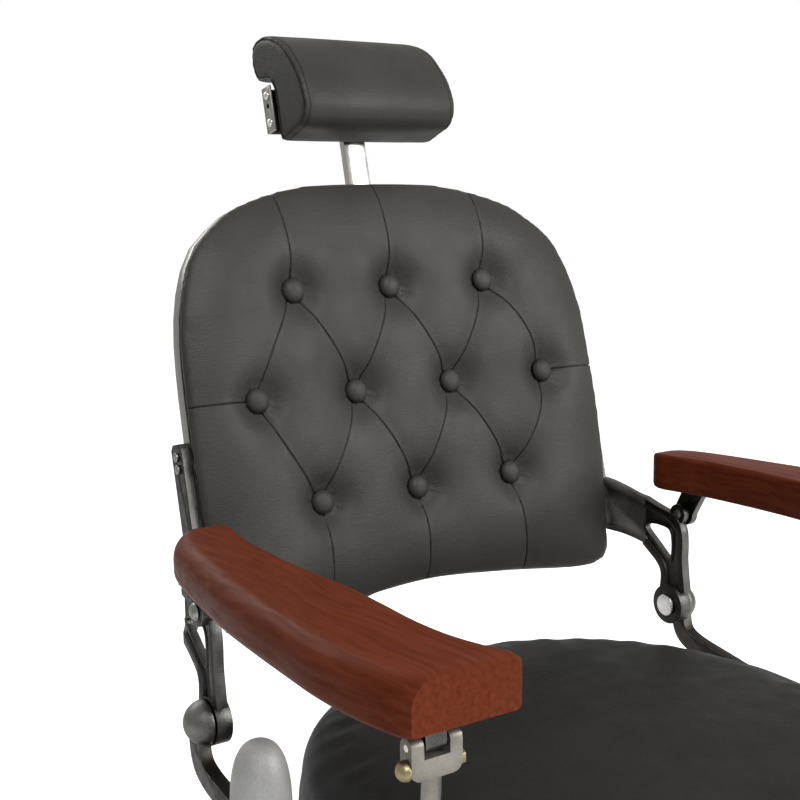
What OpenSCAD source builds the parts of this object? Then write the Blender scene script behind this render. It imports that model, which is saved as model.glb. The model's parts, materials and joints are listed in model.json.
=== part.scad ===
// Reclining barber chair on a hydraulic column.
// The chair faces -Y and its left side is +X. The origin is on the floor, on the axis of the column.

/* [Seat] */
// Diameter of the round seat cushion
seat_d = 540; // [520:5:550]
// Height of the seat's top at its edge, above the floor with the lift down
seat_z = 525; // [505:5:560]
// Thickness of the seat cushion
seat_t = 95; // [85:1:100]
// Radius of the seat cushion's upper edge
seat_edge_r = 34; // [28:1:40]
// Rise of the seat's top from its edge to its middle
seat_crown = 12; // [8:1:16]
// Thickness of the steel pan under the cushion
pan_t = 4; // [3:1:5]

/* [Back] */
// Width of the back at its widest
back_w = 502; // [482:5:507]
// Height of the back above its middle row of buttons
back_up = 222; // [212:5:232]
// Distance from the seat's rear edge to the middle row of buttons
back_gap = 30; // [26:1:45]
// Height of the middle row of buttons above the seat's top
back_rise = 275; // [270:5:290]
// Lean of the back when it stands upright, in degrees
back_lean = 13.4; // [12:0.2:15]
// Depth by which the sides of the back stand forward of its middle
back_wrap = 23; // [16:1:26]
// Thickness of the back cushion from its row of buttons to its board
back_t = 25; // [22:1:27]
// Crown of the back cushion in front of the buttons
back_crown = 14; // [10:1:18]
// Distance from button to button in one row
button_pitch = 120; // [110:1:124]
// Distance from one row of buttons to the next
row_pitch = 108; // [100:1:110]
// Diameter of a covered button
button_d = 24; // [20:1:26]
// Depth of the metal shell's straight rim
rim_depth = 14; // [12:1:18]
// Depth of the shell's dome behind its rim
dome_depth = 24; // [22:1:32]
// Wall of the back's metal shell
shell_t = 3; // [2:0.5:4]

/* [Armrests] */
// Length of an armrest
arm_l = 426; // [410:1:438]
// Greatest width of an armrest
arm_w = 84; // [76:1:90]
// Thickness of an armrest
arm_t = 40; // [34:1:44]
// Height of the armrest's top above the seat's top
arm_rise = 186; // [180:1:196]
// Distance from the armrest's rear end to the rear edge of the seat
arm_set = 62; // [60:1:70]
// Radius of the armrest's outer upper edge
arm_nose_r = 18; // [10:1:20]

/* [Linkage] */
// Distance from the recline pivot to the armrest pivot above it
crank_l = 106; // [103:1:109]
// Distance from the recline pivot forward to the front pivot
link_l = 380; // [374:1:386]
// Distance from the recline pivot to the rear edge of the seat
pivot_set = 83.5; // [80:0.5:88]
// Height of the recline pivot above the seat's top
pivot_rise = 10; // [7:1:14]
// Radius of the recline pivot's ball
ball_r = 20.5; // [19:0.5:22]
// Thickness of a side frame
rail_t = 13; // [11:1:15]
// Gap between the seat's edge and a side frame
rail_gap = 25.5; // [24:0.5:28]
// Width of the side casting's eye on the recline pivot
eye_w = 15; // [14:0.5:16]
// Width of the side casting's bars
flange_w = 10.5; // [9:0.5:12]
// Thickness of the side casting's bars
flange_t = 9; // [8:0.5:10]
// Radius of the recline pins
pin_r = 8; // [7:0.5:9]
// Radius of the armrest pivot screws
screw_r = 5; // [4:0.5:6]
// Radius of the fork bolts
bolt_r = 3.5; // [3:0.5:4.5]

/* [Headrest] */
// Length of the headrest pillow
pillow_l = 191; // [175:1:210]
// Height of the headrest pillow
pillow_h = 121; // [115:1:127]
// Distance from the top of the back to the pillow
neck_gap = 47; // [43:1:57]
// Width of the headrest's post
post_w = 27; // [23:1:31]
// Thickness of the headrest's post
post_t = 9; // [7:0.5:9.5]

/* [Footrest] */
// Width of the calf pad
calf_w = 420; // [380:5:460]
// Height of the calf pad
calf_h = 170; // [150:5:180]
// Thickness of the calf pad
calf_t = 42; // [36:1:46]
// Diameter of the footrest's cross tubes
tube_d = 22; // [18:1:26]
// Width of the footplate
foot_w = 440; // [380:5:480]
// Length of the footplate
foot_l = 190; // [160:5:210]
// Thickness of the footplate
foot_t = 12; // [10:1:14]

/* [Base and column] */
// Diameter of the base
base_d = 660; // [600:10:720]
// Height of the base at its middle
base_h = 72; // [66:1:80]
// Height of the base's straight edge
base_edge_h = 20; // [16:1:24]
// Wall of the base casting
base_wall = 8; // [6:1:12]
// Radius of the pump's body
pump_r = 56; // [50:1:60]
// Height of the pump's top above the floor
pump_h = 250; // [240:5:256]
// Radius of the ram
ram_r = 30; // [26:1:32]
// Radius of the spigot on which the seat turns
spigot_r = 18; // [16:1:20]
// Length of the foot pedal's arm from the column's axis
pedal_l = 330; // [300:5:360]

/* [Hidden] */

// Clearances, overruns and the fineness of round faces
fit = 0.05;
gap = 0.3;
cut = 2;
$fn = 64;
fine = 96;

// Heights under the seat
seat_r = seat_d / 2;
pan_top = seat_z - seat_t - gap;
spider_t = 12;
spider_top = pan_top - pan_t;
spider_boss_h = 16;
washer_t = 3;
washer_z = spider_top - spider_t - spider_boss_h - washer_t;
ram_cap_t = 8;

// Side planes, as distances from the middle of the chair; the side frames clear the seat and the back
washer_gap = 1.5;
strip_t = 9;
strip_gap = 1.5;
strip_x = back_w / 2 + strip_gap;
root_gap = 4;
rail_x = max(seat_r + rail_gap, strip_x + strip_t + root_gap + eye_w + washer_gap);
rail_out = rail_x + rail_t;
eye_out = rail_x - washer_gap;
eye_in = eye_out - eye_w;
flange_x = eye_out - flange_w;
web_t = 5;
web_x = (flange_x + eye_out - web_t) / 2;
leg_x = rail_out + washer_gap;
leg_t = 12;
leg_mid = leg_x + leg_t / 2;
lug_x = eye_out + gap + washer_gap;
lug_t = 8;

// Pivots of the linkage, as [y, z]: a parallelogram of recline, armrest, fork and front pivots
link_lean = -3.2;
pivot_a = [seat_r - pivot_set, seat_z + pivot_rise];
crank = crank_l * [sin(link_lean), cos(link_lean)];
link_fall = 18.5;
link = [-link_l, link_fall];
pivot_b = pivot_a + crank;
pivot_d = pivot_a + link;
pivot_c = pivot_b + link;

// Helpers for smooth outlines
function cubic(a, b, c, d, t) =
    0.5 * (2 * b + (c - a) * t + (2 * a - 5 * b + 4 * c - d) * t * t + (3 * b - a - 3 * c + d) * t * t * t);
function path(p, n) = [
    for (i = [0:len(p) - 2]) for (k = [0:n - 1])
        cubic(p[max(i - 1, 0)], p[i], p[i + 1], p[min(i + 2, len(p) - 1)], k / n),
    p[len(p) - 1]];
function loop(p, n) = [
    for (i = [0:len(p) - 1]) for (k = [0:n - 1])
        cubic(p[(i + len(p) - 1) % len(p)], p[i], p[(i + 1) % len(p)], p[(i + 2) % len(p)], k / n)];
function running(p) = [
    for (i = 0, s = 0; i < len(p); s = s + norm(p[min(i + 1, len(p) - 1)] - p[i]), i = i + 1) s];
function resample(p, n) =
    let (c = running(p), l = c[len(c) - 1],
        xs = [for (i = [0:len(p) - 1]) [c[i], p[i][0]]],
        ys = [for (i = [0:len(p) - 1]) [c[i], p[i][1]]])
    [for (k = [0:n]) [lookup(l * k / n, xs), lookup(l * k / n, ys)]];
function across(p, i) =
    let (d = p[min(i + 1, len(p) - 1)] - p[max(i - 1, 0)]) [-d[1], d[0]] / norm(d);
function mix(a, b, t) = a + (b - a) * t;
function ribbon(p, half_a, half_b) = concat(
    [for (i = [0:len(p) - 1]) p[i] + across(p, i) * mix(half_a, half_b, i / (len(p) - 1))],
    [for (i = [len(p) - 1:-1:0]) p[i] - across(p, i) * mix(half_a, half_b, i / (len(p) - 1))]);
function scaled(shares, a, b) = [for (s = shares) [s[0] * a, s[1] * b]];
function moved(p, by) = [for (q = p) q + by];

// A closed skin over rings that all have the same number of points
module skin(rings, first, last) {
    n = len(rings[0]);
    m = len(rings);
    points = concat([for (r = rings) each r], [first, last]);
    function at(i, j) = i * n + j % n;
    polyhedron(points, concat(
        [for (i = [0:m - 2]) for (j = [0:n - 1]) [at(i, j), at(i + 1, j + 1), at(i, j + 1)]],
        [for (i = [0:m - 2]) for (j = [0:n - 1]) [at(i, j), at(i + 1, j), at(i + 1, j + 1)]],
        [for (j = [0:n - 1]) [m * n, j, (j + 1) % n]],
        [for (j = [0:n - 1]) [m * n + 1, (m - 1) * n + (j + 1) % n, (m - 1) * n + j]]));
}

// A plate or bar whose outline lies in the side view, from x0 outward
module side_plate(x0, t) {
    translate([x0, 0, 0])
        rotate([90, 0, 90])
            linear_extrude(height = t)
                children();
}

// A round bar across the chair at [y, z], from x0 outward
module cross_bar(x0, l, r, at) {
    translate([x0, at[0], at[1]])
        rotate([0, 90, 0])
            cylinder(h = l, r = r);
}

module on_side(side) {
    mirror([side < 0 ? 1 : 0, 0, 0])
        children();
}

// The back's own frame: x across, y to the rear, z up along the back, from its middle button row
back_y = seat_r + back_gap;
back_z = seat_z + back_rise;
module on_back() {
    translate([0, back_y, back_z])
        rotate([-back_lean, 0, 0])
            children();
}
function from_back(w, s) = [back_y + w * cos(back_lean) + s * sin(back_lean),
    back_z - w * sin(back_lean) + s * cos(back_lean)];

// Base and column

plate_t = 4;
trim_w = 5;
trim_h = 14;
base_r = base_d / 2;
base_top_share = 0.25;
base_shoulder_shares = [[1, 0], [0.97, 0.16], [0.86, 0.34], [0.66, 0.55], [0.42, 0.80], [0.29, 0.95]];
base_flange_r = base_r * base_top_share;
base_bolt_r = 6;
base_bolt_ring = (pump_r + base_flange_r) / 2 + base_bolt_r / 2;

function base_profile(shrink) = concat(
    [[0, plate_t], [base_r - shrink, plate_t]],
    path([for (q = base_shoulder_shares)
        [q[0] * (base_r - shrink), base_edge_h + q[1] * (base_h - base_edge_h) - shrink]], 6),
    [[base_flange_r - shrink, base_h - shrink], [0, base_h - shrink]]);

module base_plate() {
    color("dimgray")
        cylinder(h = plate_t, r = base_r - base_wall, $fn = fine);
}

module base_casting() {
    color("#3a3a3c")
        difference() {
            rotate_extrude($fn = fine)
                polygon(base_profile(0));
            difference() {
                rotate_extrude($fn = fine)
                    polygon(concat([[0, plate_t - cut]], [[base_r - base_wall, plate_t - cut]],
                        [for (i = [1:len(base_profile(base_wall)) - 1]) base_profile(base_wall)[i]]));
                translate([0, 0, -cut])
                    cylinder(h = base_h + cut, r = pump_r + base_wall);
            }
            translate([0, 0, -cut])
                cylinder(h = base_h + 2 * cut, r = pump_r + gap);
        }
}

module base_trim() {
    color("silver")
        rotate_extrude($fn = fine)
            polygon([[base_r + gap, plate_t / 2], [base_r + trim_w, plate_t], [base_r + trim_w, trim_h],
                [base_r + trim_w / 2, trim_h + trim_w / 2], [base_r + gap, trim_h + trim_w / 2]]);
}

module base_bolts() {
    color("silver")
        for (a = [45:90:315])
            rotate([0, 0, a])
                translate([base_bolt_ring, 0, base_h + pump_flange_t])
                    cylinder(h = base_bolt_r, r = base_bolt_r, $fn = 6);
}

pump_flange_t = 8;
pump_foot_t = 10;
pedal_rise = 30;
pedal_z = base_h + pump_flange_t + pedal_rise;
pedal_hub_r = 13;
pedal_pin_r = 6;
pedal_set = 20;
pedal_y = pump_r + pedal_set;
pedal_arm_w = 22;
pedal_arm_t = 12;
pedal_pad_w = 90;
pedal_pad_l = 46;
pedal_pad_t = 10;
pedal_ear_t = 9;

module pump_body() {
    color("#2f2f31")
        difference() {
            union() {
                translate([0, 0, plate_t])
                    cylinder(h = pump_h - plate_t, r = pump_r, $fn = fine);
                translate([0, 0, base_h])
                    cylinder(h = pump_flange_t, r = base_flange_r, $fn = fine);
                for (side = [-1, 1])
                    translate([side * (pedal_arm_w / 2 + gap + pedal_ear_t / 2) - pedal_ear_t / 2, 0, 0])
                        difference() {
                            side_plate(0, pedal_ear_t)
                                polygon([[pump_r - base_wall, base_h + cut],
                                    [pedal_y + pedal_hub_r, base_h + pump_flange_t],
                                    [pedal_y + pedal_hub_r, pedal_z + pedal_hub_r],
                                    [pedal_y - pedal_hub_r, pedal_z + pedal_hub_r],
                                    [pump_r - base_wall, pedal_z + 3 * pedal_hub_r]]);
                            cross_bar(-cut, pedal_ear_t + 2 * cut, pedal_pin_r, [pedal_y, pedal_z]);
                        }
            }
            translate([0, 0, plate_t + pump_foot_t])
                cylinder(h = pump_h, r = ram_r + fit);
        }
}

gland_h = 18;
gland_t = 12;
module pump_gland() {
    color("silver")
        translate([0, 0, pump_h])
            difference() {
                cylinder(h = gland_h, r = ram_r + gland_t);
                translate([0, 0, -cut])
                    cylinder(h = gland_h + 2 * cut, r = ram_r + fit);
            }
}

module pump_pedal() {
    pad_y = pedal_l - pedal_pad_l;
    color("#2f2f31") {
        difference() {
            union() {
                cross_bar(-pedal_arm_w / 2, pedal_arm_w, pedal_hub_r, [pedal_y, pedal_z]);
                translate([-pedal_arm_w / 2, pedal_y, pedal_z - pedal_arm_t / 2])
                    cube([pedal_arm_w, pad_y - pedal_y + cut, pedal_arm_t]);
            }
            cross_bar(-pedal_arm_w, 2 * pedal_arm_w, pedal_pin_r + fit, [pedal_y, pedal_z]);
        }
        translate([-pedal_pad_w / 2, pad_y, pedal_z - pedal_arm_t / 2])
            cube([pedal_pad_w, pedal_pad_l, pedal_arm_t - pedal_pad_t / 2]);
    }
}

module pedal_rubber() {
    rib_n = 6;
    rib_w = pedal_pad_l / (2 * rib_n);
    pad_y = pedal_l - pedal_pad_l;
    top = pedal_z + pedal_arm_t / 2 - pedal_pad_t / 2;
    color("#181818")
        difference() {
            translate([-pedal_pad_w / 2, pad_y + cut, top])
                cube([pedal_pad_w, pedal_pad_l - 2 * cut, pedal_pad_t]);
            for (k = [1:rib_n - 1])
                translate([-pedal_pad_w, pad_y + (2 * k - 0.5) * rib_w, top + pedal_pad_t - cut])
                    cube([2 * pedal_pad_w, rib_w, 2 * cut]);
        }
}

module pedal_pin() {
    half = pedal_arm_w / 2 + gap + pedal_ear_t;
    color("silver") {
        cross_bar(-half, 2 * half, pedal_pin_r, [pedal_y, pedal_z]);
        for (side = [-1, 1])
            on_side(side)
                cross_bar(half, pedal_pin_r / 2, pedal_pin_r * 1.4, [pedal_y, pedal_z]);
    }
}

ram_stop = 16;
ram_low = plate_t + pump_foot_t + ram_stop;
spigot_top = spider_top - 2 * gap;
module ram() {
    color("gainsboro") {
        translate([0, 0, ram_low])
            cylinder(h = washer_z - ram_low, r = ram_r, $fn = fine);
        translate([0, 0, washer_z - ram_cap_t])
            cylinder(h = ram_cap_t, r = pump_r, $fn = fine);
        translate([0, 0, washer_z - cut])
            cylinder(h = spigot_top - washer_z + cut, r = spigot_r);
    }
}

cover_t = 2;
cover_gap = 5;
cover_r = pump_r + cover_gap;
cover_rise = 88;
cover_low = base_h + pump_flange_t + cover_rise;
module column_cover() {
    color("silver")
        difference() {
            translate([0, 0, cover_low])
                cylinder(h = washer_z - cover_low, r = cover_r, $fn = fine);
            translate([0, 0, cover_low - cut])
                cylinder(h = washer_z - cover_low - cover_t + cut, r = cover_r - cover_t, $fn = fine);
            translate([0, 0, cover_low])
                cylinder(h = washer_z, r = pump_r + gap, $fn = fine);
        }
}

module thrust_washer() {
    color("darkgoldenrod")
        translate([0, 0, washer_z])
            difference() {
                cylinder(h = washer_t - gap, r = pump_r - cut);
                translate([0, 0, -cut])
                    cylinder(h = washer_t + 2 * cut, r = spigot_r + gap);
            }
}

// Seat and its frame

spider_boss_r = 46;
spider_hub_r = 92;
spider_arm_w = 46;
spider_rib_t = 10;
spider_rib_h = 20;
lug_y = 95;
lug_h = 30;
lug_w = 40;
frame_bolt_r = 6;
spider_lug_z = spider_top - lug_h / 2;

module spider_arm(side, y) {
    on_side(side)
        difference() {
            union() {
                translate([0, y - spider_arm_w / 2, spider_top - spider_t])
                    cube([rail_x, spider_arm_w, spider_t]);
                translate([0, y - spider_rib_t / 2, spider_top - spider_t - spider_rib_h + cut])
                    cube([rail_x - spider_t, spider_rib_t, spider_rib_h]);
                translate([rail_x - spider_t, y - lug_w / 2, spider_top - lug_h])
                    cube([spider_t, lug_w, lug_h]);
            }
            cross_bar(rail_x - 2 * spider_t, 3 * spider_t, frame_bolt_r, [y, spider_lug_z]);
        }
}

module seat_spider() {
    color("#38383a")
        difference() {
            union() {
                translate([0, 0, spider_top - spider_t])
                    cylinder(h = spider_t, r = spider_hub_r);
                translate([0, 0, spider_top - spider_t - spider_boss_h])
                    cylinder(h = spider_boss_h + cut, r = spider_boss_r);
                for (side = [-1, 1])
                    for (y = [-lug_y, lug_y])
                        spider_arm(side, y);
            }
            translate([0, 0, washer_z])
                cylinder(h = 2 * seat_t, r = spigot_r + fit);
        }
}

module seat_pan() {
    color("#2a2a2c")
        translate([0, 0, spider_top])
            cylinder(h = pan_t, r = seat_r - seat_edge_r / 2, $fn = fine);
}

// Half section of the seat cushion: flat under, drawn in at the seam, full at the side, crowned on top
seat_side_shares = [[0.955, 0], [0.985, 0.10], [1, 0.30], [1, 0.46]];
module seat_cushion() {
    edge_z = seat_z - seat_edge_r;
    side = scaled(seat_side_shares, seat_r, seat_t);
    low = seat_z - seat_t;
    color("#232221")
        rotate_extrude($fn = fine)
            polygon(concat([[0, low]],
                [for (q = side) if (low + q[1] < edge_z) [q[0], low + q[1]]],
                [for (a = [0:10:80]) [seat_r + seat_edge_r * (cos(a) - 1), edge_z + seat_edge_r * sin(a)]],
                [for (k = [0:6]) let (f = 1 - k / 6)
                    [f * (seat_r - seat_edge_r), seat_z + seat_crown * (1 - pow(f, 2))]]));
}

// Side frame: a curved limb down from the ball, along the side of the seat and up to the front pivot
limb_end = 9;
limb_mid = 12;
rail_fall_share = 0.80;
rail_shares = [[0, 0], [0.008, 0.38], [0.052, 0.58], [0.17, 0.74], [0.33, 0.92], [0.48, 1],
    [0.63, 1], [0.78, 0.92], [0.90, 0.66], [0.97, 0.30], [1, 0]];
rail_fall = seat_t * rail_fall_share;
rail_path = path([
    for (q = rail_shares) pivot_a + [-link_l * q[0], link_fall * q[0] - rail_fall * q[1]]], 5);
front_boss_r = 17;
lever_y = -60;
lever_at = [lever_y, rail_z_at(lever_y)];
lever_pin_r = 6;
function rail_z_at(y) = lookup(-y, [for (q = rail_path) [-q[0], q[1]]]);
lug_flare = 0.85;

// A lug under the rail: narrow and round at its foot, flared where it meets the rail
function frame_lug(y) = concat(
    [for (a = [180:15:360]) [y, spider_top - lug_h + lug_w / 2] + lug_w / 2 * [cos(a), sin(a)]],
    [for (s = [1, -1]) [y + s * lug_flare * lug_w, rail_z_at(y + s * lug_flare * lug_w)]]);

module side_frame(side) {
    color("#3b3b3d")
        on_side(side)
            difference() {
                union() {
                    side_plate(rail_x, rail_t)
                        polygon(ribbon(rail_path, limb_end, limb_mid));
                    intersection() {
                        translate([rail_x, pivot_a[0], pivot_a[1]])
                            sphere(r = ball_r);
                        translate([rail_x, pivot_a[0] - 2 * ball_r, pivot_a[1] - 2 * ball_r])
                            cube([2 * ball_r, 4 * ball_r, 4 * ball_r]);
                    }
                    cross_bar(rail_x, rail_t, front_boss_r, pivot_d);
                    cross_bar(rail_x, rail_t, 2.4 * lever_pin_r, lever_at);
                    for (y = [-lug_y, lug_y])
                        side_plate(rail_x, rail_t)
                            polygon(frame_lug(y));
                }
                cross_bar(rail_x - cut, pin_seat + cut, pin_r, pivot_a);
                cross_bar(rail_x - cut, rail_t + 2 * cut, pin_r, pivot_d);
                cross_bar(rail_x - cut, rail_t + 2 * cut, lever_pin_r, lever_at);
                for (y = [-lug_y, lug_y])
                    cross_bar(rail_x - cut, rail_t + 2 * cut, frame_bolt_r, [y, spider_lug_z]);
            }
}
module side_frame_left() side_frame(1);
module side_frame_right() side_frame(-1);

module frame_bolts() {
    color("silver")
        for (side = [-1, 1])
            for (y = [-lug_y, lug_y])
                on_side(side) {
                    cross_bar(rail_x - spider_t, spider_t + rail_t, frame_bolt_r, [y, spider_lug_z]);
                    translate([rail_out, y, spider_lug_z])
                        rotate([0, 90, 0])
                            cylinder(h = frame_bolt_r * 0.7, r = frame_bolt_r * 1.7, $fn = 6);
                }
}

// Recline pins: a head inside the bracket's eye, a shank through it and a seat in the ball
pin_seat = 13;
pin_head_t = 4;
pin_head_r = 1.5 * pin_r;
module recline_pins() {
    color("silver")
        for (side = [-1, 1])
            on_side(side) {
                cross_bar(eye_in - gap - pin_head_t, pin_head_t, pin_head_r, pivot_a);
                cross_bar(eye_in - gap, rail_x + pin_seat - eye_in + gap, pin_r, pivot_a);
            }
}

module recline_washers() {
    color("darkgoldenrod")
        for (side = [-1, 1])
            on_side(side)
                for (q = [[eye_out, pivot_a], [rail_out, pivot_d]])
                    difference() {
                        cross_bar(q[0] + gap / 2, washer_gap - gap, 1.8 * pin_r, q[1]);
                        cross_bar(q[0] - cut, washer_gap + 2 * cut, pin_r + gap, q[1]);
                    }
}

module front_pins() {
    color("silver")
        for (side = [-1, 1])
            on_side(side) {
                cross_bar(rail_x, leg_x + leg_t + gap - rail_x, pin_r, pivot_d);
                translate([leg_x + leg_t + gap, pivot_d[0], pivot_d[1]])
                    rotate([0, 90, 0])
                        intersection() {
                            translate([0, 0, -pin_head_r / 2])
                                sphere(r = 1.3 * pin_head_r);
                            cylinder(h = pin_head_r, r = pin_head_r);
                        }
            }
}

// Recline lever: a brake shoe ahead of its hub and a bullet grip above and behind it
grip_r = 23.5;
grip_h = 122;
grip_shift = 28.7;
grip_y = -2;
grip_x = rail_out + grip_shift;
grip_rise = 70.5;
grip_top = seat_z + grip_rise;
grip_shares = [[0.34, 0], [0.50, 0.08], [0.72, 0.22], [0.90, 0.38], [1, 0.54], [1, 0.66], [0.94, 0.77],
    [0.82, 0.87], [0.60, 0.95], [0.32, 0.99], [0, 1]];
lever_hub_r = 15;
lever_arm_w = 9;
lever_t = 9;
sector_r = 75;
shoe_gap = 0.4;
shoe_t = 9;
shoe_angle = -35;
shoe_span = 14;
function around(at, r, a) = at + r * [cos(a), sin(a)];

module rod(p, q, r) {
    d = q - p;
    translate(p)
        rotate([0, acos(d[2] / norm(d)), atan2(d[1], d[0])])
            cylinder(h = norm(d), r = r);
}

module recline_lever() {
    elbow = [leg_x + lever_t / 2, grip_y - grip_r, lever_at[1] + lever_hub_r / 2];
    foot = [grip_x, grip_y, grip_top - grip_h];
    reach = [around(pivot_d, sector_r + shoe_gap + shoe_t / 2, shoe_angle), lever_at];
    shoe = [for (k = [-shoe_span:shoe_span / 4:shoe_span])
        around(pivot_d, sector_r + shoe_gap + shoe_t / 2, shoe_angle + k / 2)];
    color("#b9b8b4")
        on_side(-1)
            difference() {
                union() {
                    cross_bar(leg_x, lever_t, lever_hub_r, lever_at);
                    side_plate(leg_x, lever_t)
                        polygon(ribbon(reach, shoe_t / 2, lever_arm_w));
                    side_plate(leg_x, lever_t)
                        polygon(ribbon(shoe, shoe_t / 2, shoe_t / 2));
                    side_plate(leg_x, lever_t)
                        polygon(ribbon([lever_at, [elbow[1], elbow[2]]], lever_arm_w, lever_t / 2));
                    cross_bar(leg_x, lever_t, lever_t / 2, [elbow[1], elbow[2]]);
                    rod(elbow, foot, lever_t / 2);
                    translate(foot)
                        rotate_extrude()
                            polygon(concat([[0, 0]], path(scaled(grip_shares, grip_r, grip_h), 3)));
                }
                cross_bar(leg_x - cut, lever_t + 2 * cut, lever_pin_r + fit, lever_at);
            }
}

module lever_pin() {
    color("silver")
        on_side(-1) {
            cross_bar(rail_x, leg_x + lever_t + gap - rail_x, lever_pin_r, lever_at);
            cross_bar(leg_x + lever_t + gap, lever_pin_r / 2, 1.5 * lever_pin_r, lever_at);
        }
}

// Side casting: a bracket of flanged bars from the side of the back down to the recline pivot

strip_fore = 2;
strip_w = 25;
strip_top = -32;
strip_chamfer = 5;
root_top = -126;
root_low = -181;
boss_r = 11;
eye_rim = 1.5;
window_rim = 3;
rim_inset = 1.5;
bend_share = 0.43;
bracket_front_shares = [[0.80, 1.23], [0.64, 1.155], [0.50, 1.075], [0.33, 1.02], [0.17, 0.98], [0.02, 0.95],
    [-0.095, 0.85], [-0.122, 0.69], [-0.12, 0.52], [-0.14, 0.335], [-0.165, 0.16]];
bracket_rear_shares = [[0.75, 0.745], [0.62, 0.71], [0.46, 0.635], [0.285, 0.525], [0.155, 0.42],
    [0.105, 0.30], [0.12, 0.12]];
bracket_window_shares = [[0.397, 0.763], [0.322, 0.82], [0.173, 0.83], [0.045, 0.80], [0.01, 0.66],
    [0.025, 0.49], [0.08, 0.505], [0.245, 0.635]];
function strip_at(fore, s) = from_back(strip_fore + fore, s);
front_path = path(concat([strip_at(strip_w, root_top)],
    moved(scaled(bracket_front_shares, crank_l, crank_l), pivot_a)), 4);
rear_path = path(concat([strip_at(strip_w, root_low)],
    moved(scaled(bracket_rear_shares, crank_l, crank_l), pivot_a)), 4);
window = loop(moved(scaled(bracket_window_shares, crank_l, crank_l), pivot_a), 5);
web_edge = concat(front_path, [pivot_a], [for (i = [len(rear_path) - 1:-1:0]) rear_path[i]]);
function grown(p, by) = [for (i = [0:len(p) - 1])
    p[i] - by * across([p[(i + len(p) - 1) % len(p)], p[i], p[(i + 1) % len(p)]], 1)];

// Behind an upright line the casting is bent inward, so that it meets the strip at the back's side
bend_y = pivot_a[0] + bend_share * crank_l;
root_mid = strip_at(strip_w / 2, (root_top + root_low) / 2);
bend = atan((eye_out - strip_x - strip_t) / (root_mid[0] - bend_y));
function unrolled(p) = [for (q = p) [(q[0] - bend_y) / cos(bend), q[1]]];
module bent_plate(x0, t) {
    side_plate(x0, t)
        intersection() {
            children(0);
            translate([bend_y - link_l, 0])
                square([link_l, 2 * seat_z]);
        }
    translate([eye_out, bend_y, 0])
        rotate([0, 0, bend])
            side_plate(x0 - eye_out, t)
                intersection() {
                    children(1);
                    square([link_l, 2 * seat_z]);
                }
}

module bracket(side) {
    color("#333436")
        on_side(side)
            difference() {
                union() {
                    bent_plate(web_x, web_t) {
                        difference() {
                            polygon(web_edge);
                            polygon(window);
                        }
                        polygon(unrolled(web_edge));
                    }
                    for (p = [front_path, rear_path])
                        bent_plate(flange_x, flange_w) {
                            polygon(ribbon(p, flange_t / 2, flange_t / 2));
                            polygon(ribbon(unrolled(p), flange_t / 2, flange_t / 2));
                        }
                    side_plate(flange_x + rim_inset, flange_w - 2 * rim_inset)
                        difference() {
                            polygon(grown(window, window_rim));
                            polygon(window);
                        }
                    side_plate(strip_x, strip_t)
                        polygon([
                            strip_at(0, root_low - flange_t / 2), strip_at(strip_w, root_low - flange_t),
                            strip_at(strip_w, strip_top - strip_chamfer),
                            strip_at(strip_w - strip_chamfer, strip_top),
                            strip_at(strip_chamfer, strip_top), strip_at(0, strip_top - strip_chamfer)]);
                    cross_bar(eye_in, eye_w, ball_r + eye_rim, pivot_a);
                    cross_bar(web_x, eye_out - web_x, boss_r, pivot_b);
                }
                translate([strip_x - link_l, 0, 0])
                    cube([link_l, link_l, 2 * seat_z]);
                cross_bar(eye_in - cut, eye_w + 2 * cut, pin_r + fit, pivot_a);
                cross_bar(web_x - cut, eye_out, screw_r, pivot_b);
                strip_holes(strip_x - cut, strip_t + 2 * cut);
            }
}
module bracket_left() bracket(1);
module bracket_right() bracket(-1);

// A pair of screws a side holds the strip to the shell's rim
strip_screws = [-44, -56];
bracket_screw_r = 2.5;
bracket_head_r = 4.5;
module strip_holes(x0, l) {
    for (s = strip_screws)
        cross_bar(x0, l, bracket_screw_r, strip_at(strip_w / 2, s));
}
module bracket_screws() {
    shank_x = strip_x - strip_gap - shell_t;
    color("gainsboro")
        for (side = [-1, 1])
            on_side(side) {
                strip_holes(shank_x, strip_x + strip_t - shank_x);
                for (s = strip_screws)
                    cross_bar(strip_x + strip_t, bracket_screw_r, bracket_head_r, strip_at(strip_w / 2, s));
            }
}

// Back: a wrapped outline shared by the cushion, its board and the metal shell

back_half_shares = [[0, -0.932], [0.454, -0.973], [0.801, -1.021], [0.927, -0.986], [0.955, -0.851],
    [0.987, -0.495], [1, -0.131], [0.980, 0.347], [0.900, 0.646], [0.781, 0.793], [0.641, 0.892],
    [0.359, 0.980], [0, 1]];
back_half = [for (q = back_half_shares) [q[0] * back_w / 2, q[1] * back_up]];
back_corner = 3;
back_top = len(back_half) - 1;
function flipped(q) = [-q[0], q[1]];
back_steps = 6;
back_loop = loop(concat(
    [for (i = [back_corner:-1:1]) flipped(back_half[i])],
    [for (i = [0:back_top]) back_half[i]],
    [for (i = [back_top - 1:-1:back_corner + 1]) flipped(back_half[i])]), back_steps);
back_quarter = len(back_loop) / 4;
function back_ring(n, grow) = [for (q = [0:3])
    let (r = resample([for (i = [0:back_quarter]) back_loop[(q * back_quarter + i) % len(back_loop)]], n))
        for (k = [0:n - 1]) r[k] * (1 + grow / norm(r[k]))];
function wrap(x) = -back_wrap * pow(x / (back_w / 2), 2);
function wrapped(ring, f, w) = [for (q = ring) [q[0] * f, w + wrap(q[0] * f), q[1] * f]];

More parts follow.
